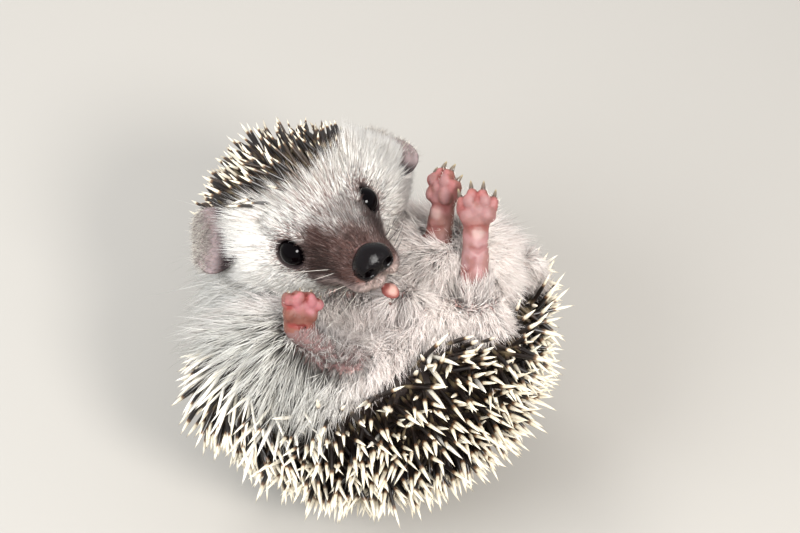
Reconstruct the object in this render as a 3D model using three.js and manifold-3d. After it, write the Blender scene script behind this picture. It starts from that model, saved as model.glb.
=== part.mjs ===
// A four-toed hedgehog, life size, lying half curled on its back: the spiny back makes a round bowl that
// rests on the floor, the belly and the four feet face up, and the head is raised over one end of the
// bowl and turned to one side. Millimetres, +Z up. The tail end points to +X and the animal's left to +Y.
// Every solid reaches out to the tips of the coat.
import * as THREE from "three";
import { mergeVertices } from "three/addons/utils/BufferGeometryUtils.js";
import Module from "manifold-3d";

const wasm = await Module();
wasm.setup();

// ---- Driving dimensions ----
const GAP = 0.3; // between neighbouring solids
const FLOOR_Z = 0;
const WELD = 1e-4; // points closer than this are one

// The curled trunk, an ellipsoid with a flattened belly above and a small flat below.
const TRUNK = {
  center: [0, 0, 35],
  halfLength: 46,
  halfWidth: 42,
  halfHeight: 36,
  bellyLevel: 62, // height of the belly above the floor
  shoulderOfBelly: 0.72, // the part of the rise to the belly that keeps its full roundness
  yaw: 16, // degrees from +X to the tail end
};
const SHOULDER = { center: [-20.5, -12.5, 44.5], radii: [22.5, 21.5, 19.5] };
const HAUNCH = { center: [23, 9, 43], radii: [21.5, 24, 20.5] };
const NECK = { center: [-22.5, 22, 54], radii: [21.5, 22.5, 24] };

// The head's own frame: x forward to the nose, y to the animal's left, z up, origin between the eyes.
const HEAD = { at: [-9.2, 6.7, 73.8], yaw: -59.2, pitch: 28.9, roll: 11.4 };
// Sections of the head with its coat: place along x, sideways shift, half width, top and bottom.
const HEAD_SECTIONS = [
  { x: -31, side: 2, half: 10, top: 12.5, bottom: -12 },
  { x: -26, side: 2.6, half: 16.5, top: 18.5, bottom: -17 },
  { x: -18, side: 3, half: 21, top: 19.8, bottom: -19.5 },
  { x: -10, side: 2.8, half: 23, top: 17, bottom: -20 },
  { x: -5, side: 1.8, half: 19.8, top: 13, bottom: -18.6 },
  { x: 1, side: 0.3, half: 13, top: 8.8, bottom: -16 },
  { x: 8, side: 0, half: 9, top: 5.6, bottom: -13.2 },
  { x: 16, side: 0, half: 6.4, top: 3.6, bottom: -9.6 },
  { x: 21, side: 0, half: 4.5, top: 2.2, bottom: -6.2 },
];
const HEAD_BACK = -33.5; // the rounded nape end
const HEAD_FRONT = [22.4, 0, -1.5]; // under the nose
const EYE = { side: 9.6, radius: 3.3, axis: [0.6, 0.75, 0.25], socket: 4.6, socketDepth: 6 };
const NOSE = { center: [21.8, 0, -0.7], radii: [3.4, 4.6, 4.3] };
// The ear is half an oval from `from` to `to` of a half turn, never thinner at its ends than `least`.
const EAR = { length: 13, halfWidth: 7.4, thickness: 1.6, cup: 2.6, cap: 0.7, from: 0.2, to: 0.96, least: 0.05 };
// Each ear's base, the way to its tip and the way across it; the hollow side faces across x tip.
const EARS = {
  left: { at: [-8.2, 17.6, -2.1], tip: [-0.5, 0.83, 0.24], across: [0.5, 0.5, -0.7] },
  right: { at: [-10.8, -16.4, 3.6], tip: [-0.78, -0.62, 0.1], across: [-0.34, 0.57, 0.75] },
};

// A foot's own frame: x to the toes, z out of the sole, origin at the heel or wrist. `spread` is in degrees.
const HIND_FOOT = { length: 20, heel: 3.1, ball: 4.2, toes: 4, toe: 1.6, toeLength: 4.6, claw: 2.6, spread: 11 };
const FORE_FOOT = { length: 6.4, heel: 2.7, ball: 3.1, toes: 5, toe: 1.15, toeLength: 2.6, claw: 1.5, spread: 14 };
const CLAW = { start: 0.75, end: 0.3, rise: 0.5, dip: -0.6 };
const FEET = {
  hindfoot_right: { size: HIND_FOOT, at: [24, -0.4, 61.5], toes: [24.4, 15.2, 80], sole: [0, -0.73, 0.68] },
  hindfoot_left: { size: HIND_FOOT, at: [15, 8.8, 56.5], toes: [18.2, 22.6, 71.5], sole: [-0.1, -0.62, 0.78] },
  forefoot_right: { size: FORE_FOOT, at: [-16.2, -15.2, 65], toes: [-14.2, -10.4, 71], sole: [0.3, -0.7, 0.64] },
  forefoot_left: { size: FORE_FOOT, at: [5.2, -7.4, 63], toes: [3.4, -8.2, 71.4], sole: [0.35, -0.72, 0.6] },
};
// Each leg is one tapered length, from inside the coat to its foot.
const LEGS = {
  hindleg_right: { from: [26.4, -9, 53], to: [24.2, -2.2, 59.4], start: 6.6, end: 3.9 },
  hindleg_left: { from: [15.6, 14, 49], to: [14.8, 7.6, 54.6], start: 6.6, end: 3.9 },
  foreleg_right: { from: [-5.6, -17.6, 58.4], to: [-15.4, -16.6, 63], start: 4.4, end: 3.4 },
  foreleg_left: { from: [9.5, 0, 55], to: [6.4, -5.4, 62], start: 4.4, end: 3.2 },
};
const TAIL = { from: [40.5, 11, 48], to: [37.5, 10.4, 59.5], start: 4, end: 1.7 };

// ---- Finishes ----
const FINISH = {
  spines: { color: 0x8a7a68, roughness: 0.7, metalness: 0 },
  fur: { color: 0xe6dfd6, roughness: 0.9, metalness: 0 },
  skin: { color: 0xd09488, roughness: 0.6, metalness: 0 },
  ear: { color: 0x8f7f80, roughness: 0.8, metalness: 0 },
  nose: { color: 0x2a1c20, roughness: 0.3, metalness: 0 },
  eye: { color: 0x0b0a0c, roughness: 0.1, metalness: 0 },
};

// ---- Solids and geometry ----
const vec = (list) => new THREE.Vector3(...list);
const rad = THREE.MathUtils.degToRad;

/** A closed geometry as a solid, for joining and cutting. */
function solidOf(geometry) {
  const bare = geometry.clone();
  bare.deleteAttribute("normal");
  bare.deleteAttribute("uv");
  const merged = mergeVertices(bare, WELD);
  return new wasm.Manifold(
    new wasm.Mesh({
      numProp: 3,
      vertProperties: new Float32Array(merged.attributes.position.array),
      triVerts: new Uint32Array(merged.index.array),
    }),
  );
}

/** A solid as a geometry that three.js can draw. */
function geometryOf(solid) {
  const mesh = solid.getMesh();
  const geometry = new THREE.BufferGeometry();
  geometry.setAttribute("position", new THREE.BufferAttribute(new Float32Array(mesh.vertProperties), 3));
  geometry.setIndex(new THREE.BufferAttribute(new Uint32Array(mesh.triVerts), 1));
  geometry.computeVertexNormals();
  return geometry;
}

const joined = (solids) => solids.reduce((sum, next) => sum.add(next));

/** A solid less its cutters, without the slivers a cut leaves loose. */
function cut(solid, cutters) {
  const rest = cutters.reduce((left, cutter) => left.subtract(cutter), solid);
  return rest.decompose().reduce((most, next) => (next.volume() > most.volume() ? next : most));
}

/** An ellipsoid of the given radii about a point. */
function ellipsoid(center, radii, across = 18, down = 12) {
  const ball = new THREE.SphereGeometry(1, across, down);
  ball.rotateX(Math.PI / 2);
  ball.scale(...radii);
  ball.translate(...center);
  return solidOf(ball);
}

/** A length with round ends that tapers from one radius to another. */
function taperedLength(from, to, start, end, sides = 10, steps = 3) {
  const axis = to.clone().sub(from);
  const profile = [];
  for (let i = 0; i <= steps; i++) {
    const a = (-Math.PI / 2) * (1 - i / steps);
    profile.push(new THREE.Vector2(i ? start * Math.cos(a) : 0, start * Math.sin(a)));
  }
  for (let i = 0; i <= steps; i++) {
    const a = ((Math.PI / 2) * i) / steps;
    profile.push(new THREE.Vector2(i < steps ? end * Math.cos(a) : 0, axis.length() + end * Math.sin(a)));
  }
  const body = new THREE.LatheGeometry(profile, sides);
  body.applyQuaternion(new THREE.Quaternion().setFromUnitVectors(new THREE.Vector3(0, 1, 0), axis.normalize()));
  body.translate(from.x, from.y, from.z);
  return solidOf(body);
}

/** A surface through rings of points, closed by a point at each end. */
function loftedRings(rings, first, last) {
  const sides = rings[0].length;
  const points = [first, ...rings.flat(), last];
  const faces = [];
  for (let i = 0; i < sides; i++) {
    const next = (i + 1) % sides;
    faces.push(0, 1 + next, 1 + i);
    for (let r = 0; r < rings.length - 1; r++) {
      const near = 1 + r * sides;
      const far = near + sides;
      faces.push(near + i, near + next, far + i, near + next, far + next, far + i);
    }
    const end = 1 + (rings.length - 1) * sides;
    faces.push(end + i, end + next, points.length - 1);
  }
  const geometry = new THREE.BufferGeometry().setFromPoints(points);
  geometry.setIndex(faces);
  return geometry;
}

// ---- Head ----
const smooth = (t) => t * t * (3 - 2 * t);

/** The head's section at a place along it, from smooth curves through the given ones. */
function headSection(curves, t) {
  const [side, half, top, bottom] = curves.map((curve) => curve.getPoint(t));
  return { x: half.x, side: side.y, half: half.y, top: top.y, bottom: bottom.y };
}

/** The furry head from nape to muzzle, grown by a margin on every side. */
function headSolid(grow = 0) {
  const curves = ["side", "half", "top", "bottom"].map(
    (key) => new THREE.SplineCurve(HEAD_SECTIONS.map((s) => new THREE.Vector2(s.x, s[key]))),
  );
  const sides = 22;
  const stations = 15;
  const rings = [];
  for (let i = 0; i <= stations; i++) {
    const s = headSection(curves, i / stations);
    const middle = (s.top + s.bottom) / 2;
    const half = s.half + grow;
    const tall = (s.top - s.bottom) / 2 + grow;
    const ring = [];
    for (let k = 0; k < sides; k++) {
      const a = (2 * Math.PI * k) / sides;
      ring.push(new THREE.Vector3(s.x, s.side + half * Math.cos(a), middle + tall * Math.sin(a)));
    }
    rings.push(ring);
  }
  const back = new THREE.Vector3(HEAD_BACK - grow, HEAD_SECTIONS[0].side, 0);
  const front = vec(HEAD_FRONT).setX(HEAD_FRONT[0] + grow);
  return solidOf(loftedRings(rings, back, front));
}

/** One ear, a thin cupped round flap that stands up from its base, grown by a margin. */
function earSolid({ at, tip, across }, grow = 0) {
  const rows = 8;
  const sides = 14;
  const half = EAR.thickness / 2 + grow;
  const rings = [];
  for (let i = 0; i <= rows; i++) {
    const t = i / rows;
    const along = Math.sin(Math.PI * THREE.MathUtils.lerp(EAR.from, EAR.to, t));
    const width = (EAR.halfWidth + grow) * Math.sqrt(Math.max(EAR.least, along));
    const ring = [];
    for (let k = 0; k < sides; k++) {
      const a = (2 * Math.PI * k) / sides;
      const y = width * Math.sin(a);
      const cupped = EAR.cup * (y / EAR.halfWidth) ** 2;
      ring.push(new THREE.Vector3(cupped + half * Math.cos(a), y, t * EAR.length));
    }
    rings.push(ring);
  }
  const base = new THREE.Vector3(0, 0, -EAR.cap - grow);
  const end = new THREE.Vector3(0, 0, EAR.length + EAR.cap + grow);
  const flap = loftedRings(rings, base, end);
  const z = vec(tip).normalize();
  const x = vec(across).cross(z).normalize();
  flap.applyMatrix4(new THREE.Matrix4().makeBasis(x, z.clone().cross(x), z).setPosition(...at));
  return solidOf(flap);
}

// ---- Feet ----
/** A foot in its own frame: heel, sole with its ball, and a fan of toes with claws. */
function footSolid(size, grow = 0) {
  const ballX = size.length - size.toeLength;
  const pieces = [
    taperedLength(vec([0, 0, 0]), vec([ballX, 0, 0]), size.heel + grow, size.ball - 0.8 + grow, 8, 2),
    ellipsoid([ballX, 0, 0.3], [size.ball + grow, size.ball + 0.4 + grow, size.ball - 0.9 + grow], 10, 8),
  ];
  for (let i = 0; i < size.toes; i++) {
    const turn = rad(size.spread * (i - (size.toes - 1) / 2));
    const out = new THREE.Vector3(Math.cos(turn), Math.sin(turn), 0);
    const root = out.clone().multiplyScalar(size.ball * 0.65).setX(ballX + size.ball * 0.4);
    root.y *= 1.5;
    const tip = root.clone().addScaledVector(out, size.toeLength).setZ(CLAW.rise);
    const claw = tip.clone().addScaledVector(out, size.claw).setZ(CLAW.dip);
    pieces.push(taperedLength(root, tip, size.toe + 0.2 + grow, size.toe + grow, 5, 2));
    pieces.push(taperedLength(tip, claw, CLAW.start + grow, CLAW.end + grow, 4, 1));
  }
  return joined(pieces);
}

/** The matrix that carries a foot's own frame to its place on the animal. */
function footPlace({ at, toes, sole }) {
  const x = vec(toes).sub(vec(at)).normalize();
  const y = vec(sole).cross(x).normalize();
  const z = x.clone().cross(y);
  return new THREE.Matrix4().makeBasis(x, y, z).setPosition(...at);
}

// ---- Trunk ----
/** The curled trunk as one round form with a level belly, its shoulder and haunch joined on. */
function trunkSolid() {
  const t = TRUNK;
  const bowl = new THREE.SphereGeometry(1, 28, 17);
  bowl.rotateX(Math.PI / 2);
  const place = bowl.attributes.position;
  const lid = t.bellyLevel - t.center[2];
  const turn = lid * t.shoulderOfBelly;
  for (let i = 0; i < place.count; i++) {
    const d = new THREE.Vector3().fromBufferAttribute(place, i);
    const p = d.multiply(vec([t.halfLength, t.halfWidth, t.halfHeight]));
    // The dome above the belly's level is pressed down, and its edge stays round.
    const over = Math.max(0, (p.z - turn) / (t.halfHeight - turn));
    p.z -= (t.halfHeight - lid) * smooth(over);
    place.setXYZ(i, p.x, p.y, p.z);
  }
  bowl.rotateZ(rad(t.yaw));
  bowl.translate(...t.center);
  const whole = joined([
    solidOf(bowl),
    ellipsoid(SHOULDER.center, SHOULDER.radii),
    ellipsoid(HAUNCH.center, HAUNCH.radii),
  ]);
  return whole.trimByPlane([0, 0, 1], FLOOR_Z);
}

// ---- Assembly ----
const root = new THREE.Group();

/** A named piece of the animal from a solid. */
function piece(name, solid, finish) {
  const mesh = new THREE.Mesh(geometryOf(solid), new THREE.MeshStandardMaterial(FINISH[finish]));
  mesh.name = name;
  return mesh;
}

/** A solid moved by a matrix. */
const moved = (solid, matrix) => solid.transform([...matrix.elements]);

function buildHead() {
  const head = new THREE.Group();
  head.position.set(...HEAD.at);
  head.rotation.set(rad(HEAD.roll), rad(-HEAD.pitch), rad(HEAD.yaw), "ZYX");
  head.updateMatrix();
  const ball = (side, grow) => ellipsoid([0, side * EYE.side, 0], Array(3).fill(EYE.radius + grow), 12, 9);
  const socket = (side) => {
    const center = vec([0, side * EYE.side, 0]);
    const out = vec(EYE.axis).setY(side * EYE.axis[1]).normalize();
    return taperedLength(center, center.clone().addScaledVector(out, EYE.socketDepth), EYE.radius, EYE.socket, 12, 2);
  };
  const nose = (grow) => ellipsoid(NOSE.center, NOSE.radii.map((r) => r + grow), 14, 9);
  const cutters = [ball(1, GAP), ball(-1, GAP), socket(1), socket(-1), nose(GAP)];
  const flesh = cut(headSolid(), cutters);
  head.add(
    piece("head", flesh, "fur"),
    piece("eye_left", ball(1, 0), "eye"),
    piece("eye_right", ball(-1, 0), "eye"),
    piece("nose", nose(0), "nose"),
  );
  for (const side of ["left", "right"]) {
    head.add(piece("ear_" + side, cut(earSolid(EARS[side]), [headSolid(GAP)]), "ear"));
  }
  root.add(head);
  const grown = [headSolid(GAP), ball(1, GAP), ball(-1, GAP), earSolid(EARS.left, GAP), earSolid(EARS.right, GAP)];
  return moved(joined(grown), head.matrix);
}

function buildFeet(headSpace) {
  const space = [];
  for (const [name, foot] of Object.entries(FEET)) {
    const mesh = piece(name, footSolid(foot.size), "skin");
    mesh.applyMatrix4(footPlace(foot));
    root.add(mesh);
    space.push(moved(footSolid(foot.size, GAP), footPlace(foot)));
  }
  for (const [name, leg] of Object.entries(LEGS)) {
    const length = (grow) => taperedLength(vec(leg.from), vec(leg.to), leg.start + grow, leg.end + grow);
    root.add(piece(name, cut(length(0), [headSpace, ...space.slice(0, 4)]), "fur"));
    space.push(length(GAP));
  }
  return space;
}

const headSpace = buildHead();
const feetSpace = buildFeet(headSpace);
const tail = (grow) => taperedLength(vec(TAIL.from), vec(TAIL.to), TAIL.start + grow, TAIL.end + grow);
const neck = (grow) => ellipsoid(NECK.center, NECK.radii.map((r) => r + grow));
root.add(piece("tail", tail(0), "fur"));
root.add(piece("neck", cut(neck(0), [headSpace, ...feetSpace]), "spines"));
root.add(piece("trunk", cut(trunkSolid(), [headSpace, ...feetSpace, tail(GAP), neck(GAP)]), "spines"));

// The origin is on the floor under the middle of the animal.
const size = new THREE.Box3().setFromObject(root, true);
root.position.set(-(size.min.x + size.max.x) / 2, -(size.min.y + size.max.y) / 2, 0);

export default root;
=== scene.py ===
"""A four-toed hedgehog, life size, lying half curled on its back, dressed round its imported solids.

One skin is modelled as a field of distances in the animal's own millimetre frame and stands for every solid
of flesh. The eyes and claws are pieces of their own. The coat is made of spikes of mesh: quills, fur, down
and whiskers, each rooted in the skin.
"""

import logging
import math
from dataclasses import dataclass, field, replace
from enum import Enum, IntEnum
from typing import ClassVar

import bpy
from bpy.types import ColorRamp, Material, Mesh, Node, NodeSocket, NodeTree, Object
from mathutils.kdtree import KDTree
import numpy as np
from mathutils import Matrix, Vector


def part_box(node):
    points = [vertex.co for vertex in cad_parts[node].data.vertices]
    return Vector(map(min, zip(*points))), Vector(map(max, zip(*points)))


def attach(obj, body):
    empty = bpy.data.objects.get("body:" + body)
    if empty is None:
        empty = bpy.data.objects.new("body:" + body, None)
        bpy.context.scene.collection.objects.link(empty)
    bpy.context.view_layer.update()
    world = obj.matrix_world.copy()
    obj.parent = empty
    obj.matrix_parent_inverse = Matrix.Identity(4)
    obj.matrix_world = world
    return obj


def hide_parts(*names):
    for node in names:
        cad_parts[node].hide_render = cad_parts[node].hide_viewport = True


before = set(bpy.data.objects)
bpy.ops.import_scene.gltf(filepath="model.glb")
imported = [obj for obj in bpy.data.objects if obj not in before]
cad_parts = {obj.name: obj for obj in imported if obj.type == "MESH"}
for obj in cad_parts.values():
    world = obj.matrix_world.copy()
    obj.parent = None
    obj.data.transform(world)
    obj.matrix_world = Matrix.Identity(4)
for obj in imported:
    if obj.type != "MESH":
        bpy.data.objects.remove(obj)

Array = np.ndarray
Chance = np.random.Generator
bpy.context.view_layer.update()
MM = 0.001
ROOT_PATCH = 0.003
log = logging.getLogger("hedgehog")


# ---- Small sums ----
def unit(v: Array) -> Array:
    """Vectors of length one along v."""
    return v / np.maximum(np.linalg.norm(v, axis=-1, keepdims=True), 1e-9)


def ease(low: float, high: float, value: Array) -> Array:
    """A smooth step from 0 at low to 1 at high."""
    t = np.clip((value - low) / (high - low), 0, 1)
    return t * t * (3 - 2 * t)


def mix(a: Array, b: Array, share: Array) -> Array:
    """a where share is 0 and b where it is 1."""
    return a + (b - a) * share


def dye(color: Array, tint: Array, share: Array) -> Array:
    """Colours with a tint laid over each by its own share."""
    return mix(color, tint, share[:, None])


def flesh_union(a: Array, b: Array, blend: float) -> Array:
    """The distance to two forms that run into each other over the length blend."""
    h = np.clip(0.5 + 0.5 * (b - a) / blend, 0, 1)
    return a * h + b * (1 - h) - blend * h * (1 - h)


def flesh_common(a: Array, b: Array, blend: float) -> Array:
    """The distance to what two forms share, with its edge rounded over the length blend."""
    return -flesh_union(-a, -b, blend)


def blotch(p: Array, size: float) -> Array:
    """A smooth uneven value from about -1 to 1 at each point, in patches of about the size given."""
    ways = np.array([[1, 0.6, -0.3], [-0.5, 1.1, 0.7], [0.4, -0.8, 1.2], [1.3, 0.2, 0.9], [-0.9, -0.4, 1]])
    turns = p @ ways.T / size + np.arange(5) * 1.7
    return (np.sin(turns) * np.cos(0.63 * turns[:, ::-1] + 0.9)).sum(1) / 2.2


def linear(code: str) -> Array:
    """A linear colour from an sRGB hex code."""
    srgb = np.array([int(code[i : i + 2], 16) / 255 for i in (0, 2, 4)])
    return np.where(srgb <= 0.04045, srgb / 12.92, ((srgb + 0.055) / 1.055) ** 2.4)


def basis(first: Array, second: Array) -> Array:
    """Three axes as rows: along first, near second, and square to both."""
    x = unit(np.asarray(first, float))
    z = unit(np.cross(x, np.asarray(second, float)))
    return np.stack([x, np.cross(z, x), z])


def along_axes(axes: Array, d: tuple) -> list[Array]:
    """Offsets on an open grid, measured along each of three axes."""
    return [axis[0] * d[0] + axis[1] * d[1] + axis[2] * d[2] for axis in axes]


def nearest(distances: list[Array]) -> Array:
    """The least of several distances at each point."""
    return np.min(distances, axis=0)


def azimuth(p: Array, top: float = 180.0) -> Array:
    """The direction of points round the trunk's middle, in degrees, in the turn that ends at top."""
    turn = np.degrees(np.arctan2(p[:, 1], p[:, 0]))
    return np.where(turn > top, turn - 360, turn)


def tree_of(points: Array) -> KDTree:
    """A tree that finds the points that lie near a place."""
    tree = KDTree(len(points))
    for i, at in enumerate(points):
        tree.insert(at, i)
    tree.balance()
    return tree


class Part(IntEnum):
    """The parts of the skin, by the form that each point of it lies nearest."""

    TRUNK = 0
    NECK = 1
    HEAD = 2
    NOSE = 3
    EAR = 4
    LEG = 5
    FOOT = 6
    TAIL = 7


# ---- Where the animal lies ----
@dataclass
class Bearings:
    """The animal's own millimetre frame and its head's frame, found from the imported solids."""

    between_eyes: tuple = (-9.2, 6.7, 73.8)
    nose_drop: float = math.atan2(0.7, 21.8)
    shift: Array = field(init=False)
    head_axes: Array = field(init=False)
    eyes: dict = field(init=False)

    def __post_init__(self) -> None:
        """Reads the eyes and nose."""
        left, right, nose = (self.middle(n) for n in ("eye_left", "eye_right", "nose"))
        middle = (left + right) / 2
        self.shift = middle - self.between_eyes
        across = unit(left - right)
        forward = unit(nose - middle)
        up = unit(np.cross(forward, across))
        forward = forward * math.cos(self.nose_drop) + up * math.sin(self.nose_drop)
        self.head_axes = np.stack([forward, across, np.cross(forward, across)])
        self.eyes = {1: left - self.shift, -1: right - self.shift}

    @staticmethod
    def middle(node: str) -> Array:
        """The middle of a solid's box in the row frame, in millimetres."""
        low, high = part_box(node)
        return (np.array(low) + np.array(high)) / 2 / MM

    def to_head(self, p: Array) -> Array:
        """Points of the animal's frame in its head's frame."""
        return (p - self.between_eyes) @ self.head_axes.T

    def from_head(self, p: Array) -> Array:
        """Points of the head's frame in the animal's frame."""
        return np.asarray(p, float) @ self.head_axes + self.between_eyes

    def way_from_head(self, v: Array) -> Array:
        """Directions of the head's frame in the animal's frame."""
        return np.asarray(v, float) @ self.head_axes

    def eye_gap(self, p: Array) -> Array:
        """How far each point is from the middle of the nearer eye."""
        return nearest([np.linalg.norm(p - eye, axis=1) for eye in self.eyes.values()])

    def metres(self, p: Array) -> Array:
        """Points of the animal's frame in the row frame, in metres."""
        return (p + self.shift) * MM


# ---- Forms that the skin is modelled from ----
@dataclass
class Ball:
    """An ellipsoid: its middle, its radii and the axes that they lie along."""

    center: Array
    radii: tuple
    axes: Array = field(default_factory=lambda: np.eye(3))

    def reach(self) -> tuple[Array, Array]:
        """The corners of the box that holds it."""
        half = np.abs(self.axes.T) @ np.array(self.radii, float)
        return self.center - half, self.center + half

    def distance(self, x: Array, y: Array, z: Array) -> Array:
        """About how far each point lies outside."""
        d = (x - self.center[0], y - self.center[1], z - self.center[2])
        near = far = 0
        for along, r in zip(along_axes(self.axes, d), self.radii):
            near = near + (along / r) ** 2
            far = far + (along / r**2) ** 2
        near = np.sqrt(near)
        return near * (near - 1) / np.maximum(np.sqrt(far), 1e-4)


@dataclass
class Limb:
    """A round length that tapers from one radius to another."""

    start: Array
    end: Array
    thick: float
    thin: float

    def reach(self) -> tuple[Array, Array]:
        """The corners of the box that holds it."""
        r = max(self.thick, self.thin)
        return np.minimum(self.start, self.end) - r, np.maximum(self.start, self.end) + r

    def distance(self, x: Array, y: Array, z: Array) -> Array:
        """How far each point lies outside."""
        a = np.asarray(self.start, float)
        axis = np.asarray(self.end, float) - a
        d = (x - a[0], y - a[1], z - a[2])
        t = np.clip((d[0] * axis[0] + d[1] * axis[1] + d[2] * axis[2]) / (axis @ axis), 0, 1)
        gap = sum((d[i] - t * axis[i]) ** 2 for i in range(3))
        return np.sqrt(gap) - (self.thick + (self.thin - self.thick) * t)


@dataclass
class Bowl:
    """The curled trunk: an ellipsoid whose top is pressed level."""

    center: Array
    radii: tuple
    yaw: float
    lid: float
    round_edge: float

    def reach(self) -> tuple[Array, Array]:
        """The corners of the box that holds it."""
        r = max(self.radii)
        return self.center - r, self.center + r

    def distance(self, x: Array, y: Array, z: Array) -> Array:
        """About how far each point lies outside."""
        c, s = math.cos(self.yaw), math.sin(self.yaw)
        body = Ball(self.center, self.radii, np.array([[c, s, 0], [-s, c, 0], [0, 0, 1]]))
        return flesh_common(body.distance(x, y, z), z - self.lid + 0 * x + 0 * y, self.round_edge)


@dataclass
class Loft:
    """A length with an oval section that changes along it, in a frame of its own."""

    place: Bearings
    sections: tuple

    def curve(self, x: Array, column: int) -> Array:
        """One measure of the section at each place along it, on a smooth curve through the stated ones."""
        rows = np.array(self.sections)
        ends = np.vstack([2 * rows[0] - rows[1], rows, 2 * rows[-1] - rows[-2]])
        fine = []
        for i in range(1, len(rows)):
            a, b, c, d = ends[i - 1], ends[i], ends[i + 1], ends[i + 2]
            t = np.linspace(0, 1, 12, endpoint=False)[:, None]
            fine.append(b + 0.5 * t * (c - a + t * (2 * a - 5 * b + 4 * c - d + t * (3 * b - a - 3 * c + d))))
        fine = np.vstack([*fine, rows[-1:]])
        return np.interp(x, fine[:, 0], fine[:, column])

    def reach(self) -> tuple[Array, Array]:
        """The corners of the box that holds it."""
        rows = np.array(self.sections)
        wide = rows[:, 2:].max()
        points = self.place.from_head(np.array([[x, 0, 0] for x in rows[:, 0]]))
        return points.min(0) - wide - 3, points.max(0) + wide + 3

    def distance(self, x: Array, y: Array, z: Array) -> Array:
        """About how far each point lies outside."""
        o, axes = self.place.between_eyes, self.place.head_axes
        d = (x - o[0], y - o[1], z - o[2])
        h = along_axes(axes, d)
        low, high = self.sections[0][0], self.sections[-1][0]
        at = np.clip(h[0], low, high)
        side, half, top, bottom = (self.curve(at, k).astype(np.float32) for k in (1, 2, 3, 4))
        tall = (top - bottom) / 2
        v, w = h[1] - side, h[2] - (top + bottom) / 2
        near = np.sqrt((v / half) ** 2 + (w / tall) ** 2)
        far = np.sqrt((v / half**2) ** 2 + (w / tall**2) ** 2)
        ring = near * (near - 1) / np.maximum(far, 1e-4)
        beyond = np.abs(h[0] - at)
        return np.where(beyond > 0, np.hypot(np.maximum(ring, 0), beyond), ring)


@dataclass
class Flap:
    """A thin cupped ear: its base, its axes (hollow side, across and to the tip) and its sizes."""

    base: Array
    axes: Array
    length: float = 12.6
    half: float = 7.6
    cup: float = 2.6
    lean: float = 1.2
    thin: float = 0.95
    base_gain: float = 0.7
    rim: float = 0.42
    fold: float = 0.75
    wave: float = 0.35

    def reach(self) -> tuple[Array, Array]:
        """The corners of the box that holds it."""
        r = self.length + 2
        return self.base - r, self.base + r

    def local(self, x: Array, y: Array, z: Array) -> list[Array]:
        """Points in the ear's own frame."""
        d = (x - self.base[0], y - self.base[1], z - self.base[2])
        return along_axes(self.axes, d)

    def distance(self, x: Array, y: Array, z: Array) -> Array:
        """About how far each point lies outside."""
        out, across, along = self.local(x, y, z)
        middle = self.length * 0.45
        tall = self.length - middle
        near = np.sqrt((across / self.half) ** 2 + ((along - middle) / tall) ** 2)
        edge = (near - 1) * self.half * 0.95
        sheet = self.cup * (across / self.half) ** 2 - self.lean * (along / self.length) ** 2 + self.cup * 0.2
        rim = self.rim * np.exp(-(((edge + 0.8) / 0.7) ** 2))
        sheet = sheet + self.wave * np.sin(across * 0.8 + along * 0.35 + 0.6) * ease(2, 9, along)
        fold = self.fold * np.exp(-(((near - 0.62) / 0.09) ** 2)) * ease(0.5, 5, along)
        thick = self.thin + self.base_gain * np.exp(-np.maximum(along, 0) / 2.2) + rim
        inner = out - sheet - fold * (out > sheet)
        return flesh_common(np.abs(inner) - thick / 2, edge, 0.6)


@dataclass
class Opening:
    """A cone that opens from a point along an axis, for the slit between two lids."""

    center: Array
    axes: Array
    wide: float
    high: float
    depth: float

    def reach(self) -> tuple[Array, Array]:
        """The corners of the box that holds it."""
        return self.center - self.depth, self.center + self.depth

    def distance(self, x: Array, y: Array, z: Array) -> Array:
        """About how far each point lies outside."""
        d = (x - self.center[0], y - self.center[1], z - self.center[2])
        out, along, over = along_axes(self.axes, d)
        far = np.sqrt(d[0] ** 2 + d[1] ** 2 + d[2] ** 2) + 1e-4
        angle = np.arccos(np.clip(out / far, -1, 1))
        turn = np.arctan2(over, along)
        slit = 1 / np.sqrt((np.cos(turn) / self.wide) ** 2 + (np.sin(turn) / self.high) ** 2)
        return np.maximum(far * (angle - slit), far - self.depth)


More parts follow.
